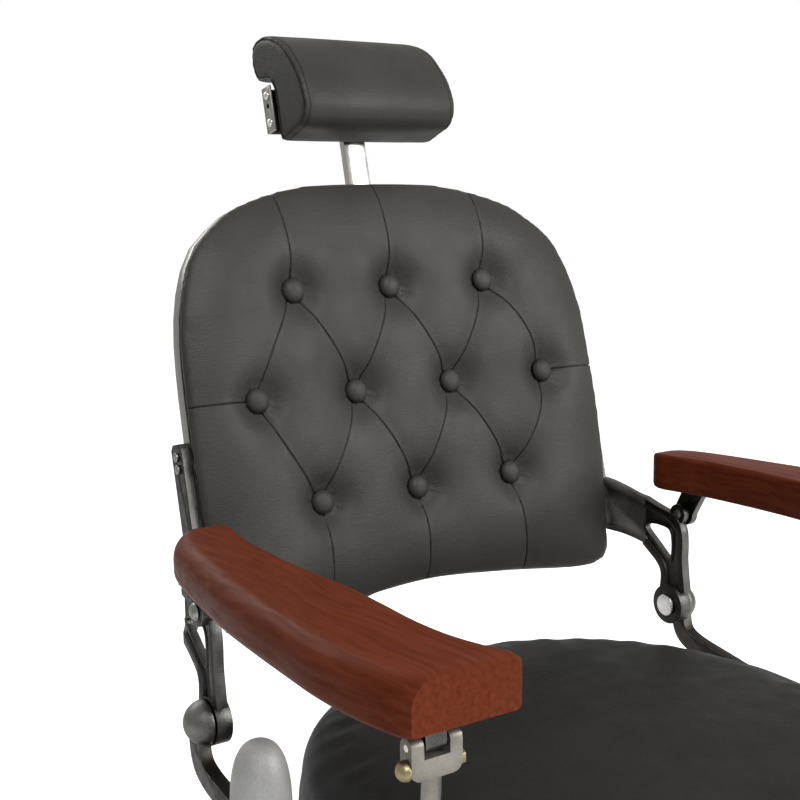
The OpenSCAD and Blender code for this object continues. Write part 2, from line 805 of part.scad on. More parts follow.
rim_set = 1;
rim_fore = back_t + rim_set;
rim_rear = rim_fore + rim_depth;
shell_grow = 1;
dome_power = 2.2;
dome_steps = [0.2, 0.4, 0.6, 0.78, 0.92, 1];
function dome(f) = rim_rear + dome_depth * (1 - pow(f, dome_power));
board_t = 3;
guide_wall = 2;
post_w0 = rim_fore + board_t + guide_wall;
post_mid = post_w0 + post_t / 2;
knob_drop = 54;
knob_s = back_up - knob_drop;
knob_r = 5;

// The metal shell behind the back, with a slot for the post and holes for the knob and the strip's screws
module back_shell() {
    ring = back_ring(16, shell_grow);
    inner = back_ring(16, shell_grow - shell_t);
    n = len(dome_steps) - 1;
    color("#9c9a94")
        difference() {
            on_back() difference() {
                skin(concat(
                    [for (f = dome_steps) wrapped(ring, f, dome(f))],
                    [wrapped(ring, 1, rim_fore), wrapped(inner, 1, rim_fore)],
                    [for (i = [n:-1:0]) wrapped(inner, dome_steps[i], dome(dome_steps[i]) - shell_t)]),
                    [0, dome(0), 0], [0, dome(0) - shell_t, 0]);
                translate([-post_w / 2 - gap, post_w0 - gap, back_up / 2])
                    cube([post_w + 2 * gap, post_t + 2 * gap, back_up]);
                translate([0, post_w0, knob_s])
                    rotate([-90, 0, 0])
                        cylinder(h = dome_depth + rim_rear, r = knob_r + 4 * gap);
            }
            for (side = [-1, 1])
                on_side(side)
                    strip_holes(back_w / 2 - 2 * shell_t, 3 * shell_t);
        }
}

module back_board() {
    ring = back_ring(12, -2 * shell_t);
    color("#8a6a48")
        on_back()
            skin(concat(
                [for (f = [0.25, 0.5, 0.75, 1]) wrapped(ring, f, rim_fore + board_t)],
                [for (f = [1, 0.75, 0.5, 0.25]) wrapped(ring, f, rim_fore)]),
                [0, rim_fore + board_t, 0], [0, rim_fore, 0]);
}

// Rows of buttons: height as a share of the row pitch, and how many
button_row_shares = [[-1, 3], [0, 4], [1, 3]];
buttons = [for (row = button_row_shares) for (k = [0:row[1] - 1])
    [(k - (row[1] - 1) / 2) * button_pitch, row[0] * row_pitch]];
pleats = concat(
    [for (a = buttons) for (b = buttons)
        if (b[1] > a[1] && abs(b[0] - a[0]) < button_pitch && b[1] - a[1] < 1.5 * row_pitch) [a, b]],
    [for (a = buttons) if (abs(a[1]) > row_pitch / 2) [a, [a[0] * 1.05, sign(a[1]) * back_up * 1.1]]],
    [for (a = buttons) if (a[1] == 0 && abs(a[0]) > button_pitch) [a, [sign(a[0]) * back_w / 2, 0]]]);
function to_line(q, l) =
    let (d = l[1] - l[0], t = max(0, min(1, ((q - l[0]) * d) / (d * d)))) norm(q - l[0] - t * d);
tuft_r = button_d;
pleat_r = button_d / 3;
pleat_share = 0.13;
function tuft(q) = max(
    max([for (b = buttons) 1 / pow(1 + pow(norm(q - b) / tuft_r, 2), 2)]),
    pleat_share * max([for (l = pleats) exp(-pow(to_line(q, l) / pleat_r, 2))]));

cushion_n = 22;
side_shares = [[0.985, 0.62], [0.98, 0.86], [0.97, 1], [0.72, 1], [0.4, 1]];
cushion_share = 0.98;
edge_share = 0.34;
edge_power = 7;
tuft_sink = 8;
function square_fraction(u, v) = let (m = max(abs(u), abs(v)))
    m == 0 ? 0 :
    v == -m && u < m ? (u + m) / (8 * m) :
    u == m && v < m ? (v + 3 * m) / (8 * m) :
    v == m && u > -m ? (5 * m - u) / (8 * m) :
    (7 * m - v) / (8 * m);
function ring_at(ring, f) =
    let (n = len(ring), t = f * n, i = floor(t)) mix(ring[i % n], ring[(i + 1) % n], t - i);

module back_cushion() {
    n = cushion_n;
    ring = back_ring(n, 0);
    front = [for (j = [0:n]) for (i = [0:n])
        let (u = 2 * i - n, v = 2 * j - n, m = max(abs(u), abs(v)) / n,
            q = m == 0 ? [0, 0] : ring_at(ring, square_fraction(u, v)) * m * cushion_share,
            edge = pow(m, edge_power),
            w = mix(-back_crown + (back_crown + tuft_sink) * tuft(q), edge_share * back_t, edge))
        [q[0], w + wrap(q[0]), q[1]]];
    rim = concat([for (i = [0:n - 1]) i], [for (j = [0:n - 1]) j * (n + 1) + n],
        [for (i = [0:n - 1]) n * (n + 1) + n - i], [for (j = [0:n - 1]) (n - j) * (n + 1)]);
    side = [for (s = side_shares) wrapped(ring, s[0], s[1] * back_t)];
    c = 4 * n;
    base = len(front);
    last = len(side) - 1;
    function at(r, k) = r == 0 ? rim[k % c] : base + (r - 1) * c + k % c;
    color("#252423")
        on_back()
            polyhedron(concat(front, [for (s = side) each s], [[0, back_t, 0]]), concat(
                [for (j = [0:n - 1]) for (i = [0:n - 1]) let (a = j * (n + 1) + i) [a, a + n + 2, a + 1]],
                [for (j = [0:n - 1]) for (i = [0:n - 1]) let (a = j * (n + 1) + i) [a, a + n + 1, a + n + 2]],
                [for (r = [0:last]) for (k = [0:c - 1]) [at(r, k), at(r, k + 1), at(r + 1, k + 1)]],
                [for (r = [0:last]) for (k = [0:c - 1]) [at(r, k), at(r + 1, k + 1), at(r + 1, k)]],
                [for (k = [0:c - 1]) [base + len(side) * c, at(len(side), k), at(len(side), k + 1)]]));
}

button_t = 9;
button_sink = 1;
module back_buttons() {
    color("#201f1e")
        on_back()
            for (b = buttons)
                translate([b[0], wrap(b[0]) + tuft_sink + button_sink, b[1]])
                    rotate([90, 0, 0])
                        rotate_extrude()
                            polygon(concat([[0, 0], [0.86 * button_d / 2, 0]], [for (a = [0:15:90])
                                [cos(a) * button_d / 2, button_t * (0.3 + 0.7 * sin(a))]]));
}

// Headrest: the post slides in a guide behind the cushion and carries the pillow's plate on a hinge

guide_low = back_up * 0.27;
guide_high = back_up * 0.83;
post_low = back_up * 0.32;
pillow_low = back_up + neck_gap;
hinge_s = pillow_low + 0.35 * pillow_h;
hinge_r = 6.5;
hinge_pin_r = 3;
plate_w0 = post_mid + hinge_r + gap;
plate_gauge = 2;
flange_depth = 16;

module post_guide() {
    shell_in = dome((knob_s + 2 * knob_r) / (back_up + shell_grow - shell_t)) - shell_t;
    color("#6f6e6a")
        on_back()
            difference() {
                union() {
                    translate([-post_w / 2 - guide_wall, post_w0 - guide_wall, guide_low])
                        cube([post_w + 2 * guide_wall, post_t + 2 * guide_wall, guide_high - guide_low]);
                    translate([0, post_mid, knob_s])
                        rotate([-90, 0, 0])
                            cylinder(h = shell_in - gap - post_mid, r = 2 * knob_r);
                }
                translate([-post_w / 2 - fit, post_w0 - fit, guide_low - cut])
                    cube([post_w + 2 * fit, post_t + 2 * fit, guide_high - guide_low + 2 * cut]);
                translate([0, post_mid, knob_s])
                    rotate([-90, 0, 0])
                        cylinder(h = dome_depth, r = knob_r + fit);
            }
}

module headrest_post() {
    color("silver")
        on_back()
            difference() {
                union() {
                    translate([-post_w / 2, post_w0, post_low])
                        cube([post_w, post_t, hinge_s - post_low]);
                    cross_bar(-post_w / 2, post_w, hinge_r, [post_mid, hinge_s]);
                }
                cross_bar(-post_w, 2 * post_w, hinge_pin_r + fit, [post_mid, hinge_s]);
            }
}

knob_d = 42;
knob_h = 20;
knob_lobes = 5;
module headrest_knob() {
    tip = post_w0 + post_t + 2 * gap;
    base = dome((knob_s - knob_d / 2) / (back_up + shell_grow)) + 2 * gap;
    color("#1c1c1d")
        on_back()
            translate([0, tip, knob_s])
                rotate([-90, 0, 0]) {
                    cylinder(h = base - tip + cut, r = knob_r);
                    translate([0, 0, base - tip])
                        difference() {
                            cylinder(h = knob_h, r = knob_d / 2);
                            for (k = [0:knob_lobes - 1])
                                rotate([0, 0, k * 360 / knob_lobes])
                                    translate([0.62 * knob_d, 0, -cut])
                                        cylinder(h = knob_h + 2 * cut, r = 0.22 * knob_d);
                        }
                }
}

module headrest_plate() {
    low = pillow_low + 0.12 * pillow_h;
    high = pillow_low + 0.52 * pillow_h;
    half = pillow_l / 2 + gap + plate_gauge;
    lug_in = post_w / 2 + gap;
    color("silver")
        on_back()
            difference() {
                union() {
                    translate([-half, plate_w0, low])
                        cube([2 * half, plate_gauge, high - low]);
                    for (side = [-1, 1])
                        on_side(side) {
                            translate([half - plate_gauge, plate_w0 - flange_depth, low])
                                cube([plate_gauge, flange_depth + plate_gauge, high - low]);
                            cross_bar(lug_in, 2 * plate_gauge, hinge_r, [post_mid, hinge_s]);
                            translate([lug_in, post_mid, hinge_s - hinge_r])
                                cube([2 * plate_gauge, plate_w0 - post_mid + gap, 2 * hinge_r]);
                        }
                }
                translate([-lug_in, plate_w0 - cut, low - cut])
                    cube([2 * lug_in, plate_gauge + 2 * cut, hinge_s - low]);
                cross_bar(-half, 2 * half, hinge_pin_r, [post_mid, hinge_s]);
            }
}

module headrest_pin() {
    half = post_w / 2 + gap + 2 * plate_gauge;
    color("gainsboro")
        on_back() {
            cross_bar(-half, 2 * half, hinge_pin_r, [post_mid, hinge_s]);
            for (side = [-1, 1])
                on_side(side)
                    cross_bar(half, hinge_pin_r / 2, 1.6 * hinge_pin_r, [post_mid, hinge_s]);
        }
}

head_screw_r = 4.5;
module headrest_screws() {
    color("gainsboro")
        on_back()
            for (side = [-1, 1])
                on_side(side)
                    for (k = [0.2, 0.44])
                        translate([pillow_l / 2 + gap + plate_gauge, plate_w0 - flange_depth / 2,
                            pillow_low + k * pillow_h])
                            rotate([0, 90, 0])
                                intersection() {
                                    translate([0, 0, -head_screw_r / 2])
                                        sphere(r = 1.25 * head_screw_r);
                                    cylinder(h = head_screw_r, r = head_screw_r);
                                }
}

// Side view of the pillow, as shares of its height: it curls over to the rear at the top
pillow_shares = [[-0.04, 0.06], [0.20, 0.01], [0.215, 0.13], [0.235, 0.52], [0.48, 0.63], [0.555, 0.78],
    [0.54, 0.93], [0.43, 0.99], [0.24, 0.965], [-0.01, 0.82], [-0.17, 0.62], [-0.262, 0.44],
    [-0.295, 0.26], [-0.31, 0.11], [-0.25, 0.05]];
pillow_end_shares = [[-1, 0.94], [-0.99, 0.985], [-0.95, 1], [-0.6, 1.005], [0, 1.01], [0.6, 1.005],
    [0.95, 1], [0.99, 0.985], [1, 0.94]];
module headrest_pillow() {
    section = loop([for (q = pillow_shares) [q[0] * pillow_h, pillow_low + q[1] * pillow_h]], 2);
    mid = [0.02 * pillow_h, pillow_low + pillow_h / 2];
    color("#252423")
        on_back()
            skin([for (e = pillow_end_shares) [for (q = section)
                let (p = mid + (q - mid) * e[1]) [e[0] * pillow_l / 2, p[0], p[1]]]],
                [-pillow_l / 2, mid[0], mid[1]], [pillow_l / 2, mid[0], mid[1]]);
}

// Armrests: width and bow follow the plan view, from the rear end forward

arm_low = seat_z + arm_rise - arm_t;
arm_rear = seat_r - arm_set;
arm_inset = 2;
arm_inner_x = rail_x - rail_gap + arm_inset;
// Each row: place along the armrest, inner and outer edge as shares of its width, how far it thins, and
// how round its outer lower edge is
arm_plan_shares = [[0, 0.10, 0.26, 0.24, 0.3], [0.006, 0.02, 0.34, 0.10, 0.4], [0.022, -0.06, 0.45, 0.02, 0.5],
    [0.05, -0.09, 0.56, 0, 0.6], [0.10, -0.05, 0.67, 0, 0.67], [0.18, 0.015, 0.76, 0, 0.67],
    [0.30, 0.045, 0.86, 0, 0.67], [0.42, 0.04, 0.945, 0, 0.67], [0.55, 0, 1, 0, 0.67],
    [0.68, 0.02, 1.03, 0, 0.6], [0.78, 0.045, 1.04, 0, 0.5], [0.87, 0.02, 1.005, 0, 0.4],
    [0.94, -0.06, 0.94, 0, 0.3], [0.985, -0.14, 0.87, 0, 0.25], [1, -0.165, 0.85, 0.06, 0.22]];
arm_edge_share = 0.22;
arm_corner_n = 5;
function arc_at(c, r, a0) = [for (k = [0:arm_corner_n - 1])
    let (a = a0 + 90 * k / (arm_corner_n - 1)) c + r * [cos(a), sin(a)]];
function arm_section(x0, x1, shrink, under) =
    let (z0 = arm_low + shrink, z1 = arm_low + arm_t - shrink,
        e = arm_nose_r * arm_edge_share, r = min(arm_nose_r, (x1 - x0) / 2 - e),
        u = min(arm_nose_r * under, r, arm_t / 2 - shrink - fit))
    concat(arc_at([x0 + e, z0 + e], e, 180), arc_at([x1 - u, z0 + u], u, 270),
        arc_at([x1 - r, z1 - r], r, 0), arc_at([x0 + e, z1 - e], e, 90));
module armrest(side) {
    color("#5a2416")
        on_side(side)
            skin([for (p = arm_plan_shares)
                [for (q = arm_section(arm_inner_x + p[1] * arm_w, arm_inner_x + p[2] * arm_w, p[3] * arm_t,
                    p[4]))
                    [q[0], arm_rear - p[0] * arm_l, q[1]]]],
                [arm_inner_x + 0.18 * arm_w, arm_rear, arm_low + arm_t / 2],
                [arm_inner_x + 0.34 * arm_w, arm_rear - arm_l, arm_low + arm_t / 2]);
}
module armrest_left() armrest(1);
module armrest_right() armrest(-1);

// Lug under the rear of an armrest, on its pivot screw
lug_plate_t = 4;
lug_plate_l = 62;
lug_plate_w = 22;
lug_r = 14;
module arm_lug(side) {
    color("#2b2b2c")
        on_side(side)
            difference() {
                union() {
                    cross_bar(lug_x, lug_t, lug_r, pivot_b);
                    side_plate(lug_x, lug_t)
                        polygon([pivot_b + [-lug_r, 0], [pivot_b[0] - lug_plate_l / 2, arm_low - gap],
                            [pivot_b[0], arm_low - gap], pivot_b + [lug_r * 0.9, lug_r * 0.4]]);
                    translate([lug_x, pivot_b[0] - 0.85 * lug_plate_l - lug_r / 2, arm_low - lug_plate_t])
                        cube([lug_plate_w, lug_plate_l, lug_plate_t - gap]);
                }
                cross_bar(lug_x - cut, lug_t + 2 * cut, screw_r + fit, pivot_b);
            }
}
module arm_lug_left() arm_lug(1);
module arm_lug_right() arm_lug(-1);

module arm_screws() {
    head_x = lug_x + lug_t + gap;
    color("gainsboro")
        for (side = [-1, 1])
            on_side(side) {
                cross_bar(web_x, head_x - web_x, screw_r, pivot_b);
                translate([head_x, pivot_b[0], pivot_b[1]])
                    rotate([0, 90, 0])
                        intersection() {
                            translate([0, 0, -screw_r])
                                sphere(r = 2 * screw_r);
                            cylinder(h = screw_r, r = 1.6 * screw_r);
                        }
            }
}

// Tongue under the front of an armrest, between the ears of the leg frame's fork
tongue_t = 16;
tongue_r = 5.5;
tongue_pin_r = 2.5;
tongue_plate_l = 52;
tongue_plate_w = 34;
open_gap = 0.5;
module arm_tongue(side) {
    color("#2b2b2c")
        on_side(side)
            difference() {
                union() {
                    cross_bar(leg_mid - tongue_t / 2, tongue_t, tongue_r, pivot_c);
                    side_plate(leg_mid - tongue_t / 2, tongue_t)
                        translate([pivot_c[0] - tongue_r, pivot_c[1]])
                            square([2 * tongue_r, arm_low - gap - pivot_c[1]]);
                    translate([leg_mid - tongue_plate_w / 2, pivot_c[0] - tongue_r, arm_low - lug_plate_t])
                        cube([tongue_plate_w, tongue_plate_l, lug_plate_t - gap]);
                }
                cross_bar(leg_mid - tongue_t, 2 * tongue_t, tongue_pin_r + open_gap, pivot_c);
            }
}
module arm_tongue_left() arm_tongue(1);
module arm_tongue_right() arm_tongue(-1);

// Leg frame: post and fork above the front pivot, curved bar below it

leg_reach = 181;
leg_drop = 393;
leg_shares = [[0, 0], [0.07, 0.17], [0.22, 0.36], [0.45, 0.55], [0.72, 0.78], [1, 1]];
leg_path = path([for (q = leg_shares) pivot_d - [leg_reach * q[0], leg_drop * q[1]]], 6);
leg_half_top = 15;
leg_half_low = 12;
leg_hub_r = 20;
post_r = 6.5;
fork_gap = 2;
ear_t = 9.5;
fork_w = 13;
fork_round = 7;
bridge_t = 13.7;
slot_drop = 7.8;
ear_in = leg_mid - tongue_t / 2 - fork_gap - ear_t;
ear_out = leg_mid + tongue_t / 2 + fork_gap;
fork_out = ear_out + ear_t;
slot_z = pivot_c[1] - slot_drop;
bridge_z = slot_z - bridge_t;
fork_bolt_at = [pivot_c[0], bridge_z + bridge_t / 2];
upper_tube = leg_path[18];
lower_tube = leg_path[len(leg_path) - 1];
sector_a0 = -46;
sector_a1 = 20;
sector_step = 3;
sector_spokes = [-42, 12];
sector_rim = 10;

module sector_arc(r0, r1) {
    polygon(concat([for (a = [sector_a0:sector_step:sector_a1]) around(pivot_d, r1, a)],
        [for (a = [sector_a1:-sector_step:sector_a0]) around(pivot_d, r0, a)]));
}

// The fork at the top of a leg frame: a U in front view, its ears round-topped about the pivot
module fork() {
    top = pivot_c[1] + fork_w;
    intersection() {
        translate([0, pivot_c[0] + fork_w / 2, 0])
            rotate([90, 0, 0])
                linear_extrude(height = fork_w)
                    polygon(concat(arc_at([ear_in + fork_round, bridge_z + fork_round], fork_round, 180),
                        arc_at([fork_out - fork_round, bridge_z + fork_round], fork_round, 270),
                        [[fork_out, top], [ear_out, top], [ear_out, slot_z], [ear_in + ear_t, slot_z],
                            [ear_in + ear_t, top], [ear_in, top]]));
        union() {
            cross_bar(ear_in, fork_out - ear_in, fork_w / 2, pivot_c);
            translate([ear_in, pivot_c[0] - fork_w / 2, bridge_z])
                cube([fork_out - ear_in, fork_w, pivot_c[1] - bridge_z]);
        }
    }
}

module leg_frame(side) {
    color("#b4b2ac")
        on_side(side)
            difference() {
                union() {
                    side_plate(leg_x, leg_t)
                        polygon(ribbon(leg_path, leg_half_top, leg_half_low));
                    cross_bar(leg_x, leg_t, leg_hub_r, pivot_d);
                    cross_bar(leg_x, leg_t, leg_half_low, lower_tube);
                    rod([leg_mid, pivot_d[0], pivot_d[1] + leg_hub_r - cut],
                        [leg_mid, pivot_c[0], bridge_z + cut], post_r);
                    fork();
                    if (side < 0) {
                        side_plate(leg_x, lever_t)
                            sector_arc(sector_r - sector_rim, sector_r);
                        for (a = sector_spokes)
                            side_plate(leg_x, lever_t)
                                polygon(ribbon([pivot_d, around(pivot_d, sector_r - sector_rim / 2, a)],
                                    sector_rim / 2, sector_rim / 2));
                    }
                }
                cross_bar(leg_x - cut, leg_t + 2 * cut, pin_r + fit, pivot_d);
                cross_bar(ear_in - cut, fork_out - ear_in + 2 * cut, tongue_pin_r, pivot_c);
                cross_bar(ear_in - cut, fork_out - ear_in + 2 * cut, bolt_r, fork_bolt_at);
            }
}
module leg_frame_left() leg_frame(1);
module leg_frame_right() leg_frame(-1);

module fork_bolts() {
    color("#a08a5a")
        for (side = [-1, 1])
            on_side(side) {
                cross_bar(ear_in - bolt_r, fork_out - ear_in + bolt_r, bolt_r, fork_bolt_at);
                translate([ear_in - bolt_r, fork_bolt_at[0], fork_bolt_at[1]])
                    rotate([0, 90, 0])
                        cylinder(h = bolt_r, r = 1.8 * bolt_r, $fn = 6);
                translate([fork_out, fork_bolt_at[0], fork_bolt_at[1]])
                    rotate([0, 90, 0])
                        intersection() {
                            sphere(r = 2 * bolt_r);
                            cylinder(h = 2 * bolt_r, r = 2 * bolt_r);
                        }
            }
}

// Pins on which the armrests' tongues turn, through the fork's ears
module fork_pins() {
    color("gainsboro")
        for (side = [-1, 1])
            on_side(side)
                cross_bar(ear_in, fork_out - ear_in, tongue_pin_r, pivot_c);
}

module cross_tubes() {
    color("silver")
        for (at = [upper_tube, lower_tube])
            cross_bar(-leg_x, 2 * leg_x, tube_d / 2, at);
}

// The calf pad's own frame: z up along the leg, from the middle of the upper tube
calf_lean = 26;
calf_board_t = 10;
clamp_w = 30;
clamp_x = calf_w / 4;
calf_shift = -6;
module on_calf() {
    translate([0, upper_tube[0], upper_tube[1]])
        rotate([-calf_lean, 0, 0])
            children();
}

module calf_board() {
    inset = calf_h / 12;
    color("#2a2a2c")
        on_calf() {
            translate([-calf_w / 2 + inset, -tube_d / 2 - calf_board_t, calf_shift - calf_h / 2 + inset])
                cube([calf_w - 2 * inset, calf_board_t - gap, calf_h - 2 * inset]);
            for (side = [-1, 1])
                on_side(side)
                    difference() {
                        translate([clamp_x - clamp_w / 2, -tube_d / 2 - cut, -tube_d])
                            cube([clamp_w, tube_d + 2 * cut, 2 * tube_d]);
                        cross_bar(clamp_x - clamp_w, 2 * clamp_w, tube_d / 2 + fit, [0, 0]);
                    }
        }
}

calf_corner_share = 0.22;
calf_ring_shares = [[0.93, 0], [0.985, 0.16], [1, 0.42], [0.985, 0.68], [0.94, 0.84], [0.82, 0.945],
    [0.5, 0.99]];
function rounded_ring(a, b, r, n) = [for (c = [0:3]) for (k = [0:n])
    let (ang = c * 90 + 90 * k / n, sx = (c == 0 || c == 3) ? 1 : -1, sz = c < 2 ? 1 : -1)
    [sx * (a - r) + r * cos(ang), sz * (b - r) + r * sin(ang)]];
module calf_pad() {
    front = -tube_d / 2 - calf_board_t;
    color("#252423")
        on_calf()
            skin([for (s = calf_ring_shares)
                [for (q = rounded_ring(calf_w / 2, calf_h / 2, calf_corner_share * calf_h, 5))
                    let (pull = 1 - s[0])
                    [q[0] * (1 - pull * calf_h / calf_w), front - gap - s[1] * calf_t,
                        calf_shift + q[1] * (1 - pull)]]],
                [0, front - gap, calf_shift], [0, front - calf_t, calf_shift]);
}

foot_hinge_r = 17;
foot_hinge_w = 44;
foot_ribs = 9;
rib_h = 3;
module footplate() {
    y1 = lower_tube[0] - tube_d / 2 - cut;
    rib_pitch = foot_w / foot_ribs;
    lip = foot_t;
    color("#9b9a96")
        difference() {
            union() {
                translate([-foot_w / 2, y1 - foot_l, lower_tube[1] - foot_t / 2])
                    cube([foot_w, foot_l, foot_t]);
                translate([-foot_w / 2, y1 - foot_l - lip, lower_tube[1] - foot_t])
                    cube([foot_w, lip + cut, 1.5 * foot_t]);
                for (k = [0:foot_ribs - 1])
                    translate([-foot_w / 2 + (k + 0.25) * rib_pitch, y1 - foot_l + lip,
                        lower_tube[1] + foot_t / 2 - cut])
                        cube([rib_pitch / 2, foot_l - 2 * lip - foot_t, rib_h + cut]);
                for (x = [-foot_w * 0.36, foot_w * 0.36])
                    cross_bar(x - foot_hinge_w / 2, foot_hinge_w, foot_hinge_r, lower_tube);
            }
            cross_bar(-foot_w, 2 * foot_w, tube_d / 2 + fit, lower_tube);
        }
}

base_plate();
base_casting();
base_trim();
base_bolts();
pump_body();
pump_gland();
pump_pedal();
pedal_rubber();
pedal_pin();
ram();
column_cover();
thrust_washer();
seat_spider();
seat_pan();
seat_cushion();
side_frame_left();
side_frame_right();
frame_bolts();
recline_pins();
recline_washers();
front_pins();
recline_lever();
lever_pin();
bracket_left();
bracket_right();
bracket_screws();
back_shell();
back_board();
back_cushion();
back_buttons();
post_guide();
headrest_post();
headrest_knob();
headrest_plate();
headrest_pin();
headrest_screws();
headrest_pillow();
arm_screws();
armrest_left();
armrest_right();
arm_lug_left();
arm_lug_right();
arm_tongue_left();
arm_tongue_right();
leg_frame_left();
leg_frame_right();
fork_bolts();
fork_pins();
cross_tubes();
calf_board();
calf_pad();
footplate();
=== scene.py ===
import bmesh
import bpy
import json
import math
import numpy as np
from mathutils import Matrix, Vector

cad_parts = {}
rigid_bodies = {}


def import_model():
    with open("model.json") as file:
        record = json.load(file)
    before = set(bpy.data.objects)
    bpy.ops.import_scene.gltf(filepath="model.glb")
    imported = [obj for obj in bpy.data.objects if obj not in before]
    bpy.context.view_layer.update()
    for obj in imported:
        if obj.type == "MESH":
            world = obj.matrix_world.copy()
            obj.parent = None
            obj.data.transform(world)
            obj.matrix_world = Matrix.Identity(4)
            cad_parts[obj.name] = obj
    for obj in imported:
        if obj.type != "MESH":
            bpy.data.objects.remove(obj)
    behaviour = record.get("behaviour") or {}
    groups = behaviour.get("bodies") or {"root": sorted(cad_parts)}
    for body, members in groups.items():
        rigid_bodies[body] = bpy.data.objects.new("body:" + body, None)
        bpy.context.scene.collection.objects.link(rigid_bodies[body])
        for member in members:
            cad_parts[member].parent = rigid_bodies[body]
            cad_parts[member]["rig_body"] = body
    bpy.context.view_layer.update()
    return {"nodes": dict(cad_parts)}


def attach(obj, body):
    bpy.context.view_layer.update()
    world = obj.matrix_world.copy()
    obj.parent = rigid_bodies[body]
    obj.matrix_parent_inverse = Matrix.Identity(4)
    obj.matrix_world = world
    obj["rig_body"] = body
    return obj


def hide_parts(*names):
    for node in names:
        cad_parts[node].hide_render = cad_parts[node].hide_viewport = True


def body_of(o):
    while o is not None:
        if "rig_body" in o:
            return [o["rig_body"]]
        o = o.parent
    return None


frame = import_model()
nodes = frame["nodes"]

# Camera: stands in front of the chair's right side, level with the top of the back, with a short
# telephoto lens. Its place and turn are those from which the photograph was taken.
camera_place = (-0.7527, -0.8316, 0.9960)
camera_yaw, camera_pitch, camera_roll = (math.radians(a) for a in (33.398, 8.846, -0.8535))
bpy.ops.object.camera_add(location=camera_place)
camera = bpy.context.object
camera.data.sensor_width = 36
camera.data.lens = 58.115
camera_turn = Matrix.Rotation(-camera_yaw, 3, "Z") @ Matrix.Rotation(math.pi / 2 - camera_pitch, 3, "X")
camera.rotation_euler = (camera_turn @ Matrix.Rotation(camera_roll, 3, "Z")).to_euler()
bpy.context.scene.camera = camera

# Studio: a pale floor that fades into a white surround, a large soft window to the camera's right, a
# smaller one high behind the camera and a strip behind the chair, which draws the edges of wood and metal.
surround_light, mirror_share = 0.15, 0.45
chair_middle = (0, 0, 0.7)
floor_w, floor_tone, floor_glow_low = 40, 0.86, 0.62
floor_pool_r, floor_white_r = 0.5, 1.7


def shade(tree, kind, inputs=None, **settings):
    """Adds a shader node. Each input is a value, or the output of another node."""
    node = tree.nodes.new("ShaderNode" + kind)
    for key, value in settings.items():
        setattr(node, key, value)
    for key, value in (inputs or {}).items():
        if isinstance(value, bpy.types.NodeSocket):
            tree.links.new(value, node.inputs[key])
        else:
            node.inputs[key].default_value = value
    return node


def spread(tree, field, low, high, out_low, out_high):
    """A field's values from low to high, spread from out_low to out_high."""
    return shade(tree, "MapRange", {"Value": field, "From Min": low, "From Max": high,
                                    "To Min": out_low, "To Max": out_high}).outputs["Result"]


def seen_directly(tree):
    """1 for what the camera sees, less for what it sees in a reflection, 0 for the light on things."""
    rays = shade(tree, "LightPath").outputs
    mirrored = shade(tree, "Math", {0: rays["Is Glossy Ray"], 1: mirror_share}, operation="MULTIPLY")
    return shade(tree, "Math", {0: rays["Is Camera Ray"], 1: mirrored.outputs[0]}, operation="MAXIMUM").outputs[0]


def blank(name, **constants):
    """A new material, with the shader's constant inputs, its node tree and the place on the piece."""
    material = bpy.data.materials.new(name)
    material.use_nodes = True
    tree = material.node_tree
    shader = tree.nodes["Principled BSDF"]
    for key, value in constants.items():
        shader.inputs[key.replace("_", " ")].default_value = value
    return material, tree, shader, shade(tree, "TexCoord").outputs["Object"]


surround = bpy.data.worlds.new("surround")
bpy.context.scene.world = surround
surround.use_nodes = True
sky = surround.node_tree
sky.nodes["Background"].inputs["Color"].default_value = (1, 1, 1, 1)
sky_level = spread(sky, seen_directly(sky), 0, 1, surround_light, 1.0)
sky.links.new(sky_level, sky.nodes["Background"].inputs["Strength"])
bpy.context.scene.view_settings.view_transform = "Standard"


def soft_light(name, place, size, power):
    """A rectangular lamp that faces the middle of the chair."""
    bpy.ops.object.light_add(type="AREA", location=place)
    light = bpy.context.object
    light.name = name
    light.data.shape = "RECTANGLE"
    light.data.size, light.data.size_y = size
    light.data.energy = power
    light.rotation_euler = (Vector(chair_middle) - Vector(place)).to_track_quat("-Z", "Y").to_euler()


soft_light("window_right", (1.8, -2.2, 1.9), (1.8, 1.8), 68)
soft_light("window_high", (-0.8, -1.9, 3.0), (1.4, 1.4), 66)
soft_light("strip_behind", (-0.6, 2.3, 2.2), (1.6, 1.0), 16)

bpy.ops.mesh.primitive_plane_add(size=floor_w)
floor = bpy.context.object
floor.name = "floor"
floor_paint, floor_tree, floor_shader, floor_place = blank(
    "floor_paint", Base_Color=(floor_tone, floor_tone, floor_tone, 1), Roughness=0.9, Emission_Color=(1, 1, 1, 1))
floor_reach = shade(floor_tree, "VectorMath", {0: floor_place}, operation="LENGTH")
floor_glow = spread(floor_tree, floor_reach.outputs["Value"], floor_pool_r, floor_white_r, floor_glow_low, 1.0)
floor_level = shade(floor_tree, "Math", {0: floor_glow, 1: seen_directly(floor_tree)}, operation="MULTIPLY")
floor_tree.links.new(floor_level.outputs[0], floor_shader.inputs["Emission Strength"])
floor.data.materials.append(floor_paint)

# Base: a round iron casting under black enamel, on a steel floor plate, with a bright ring pressed
# round its foot and four hexagon bolts that hold the pump's flange down.
usual = (0.3, 0.7)
grain_lift, shaded_side_grain_lift = 1.3, 1.8
edge_patch_size, edge_patch_span = 0.007, (0.38, 0.62)


def noise(tree, place, size, detail=3, stretch=(1, 1, 1)):
    """A soft random field with spots of about size metres, drawn out along the axes by stretch. Most
    of its values lie in the usual range."""
    scaled = shade(tree, "Mapping", {"Vector": place, "Scale": [1 / (size * s) for s in stretch]})
    return shade(tree, "TexNoise", {"Vector": scaled.outputs[0], "Scale": 1.0, "Detail": detail}).outputs["Fac"]


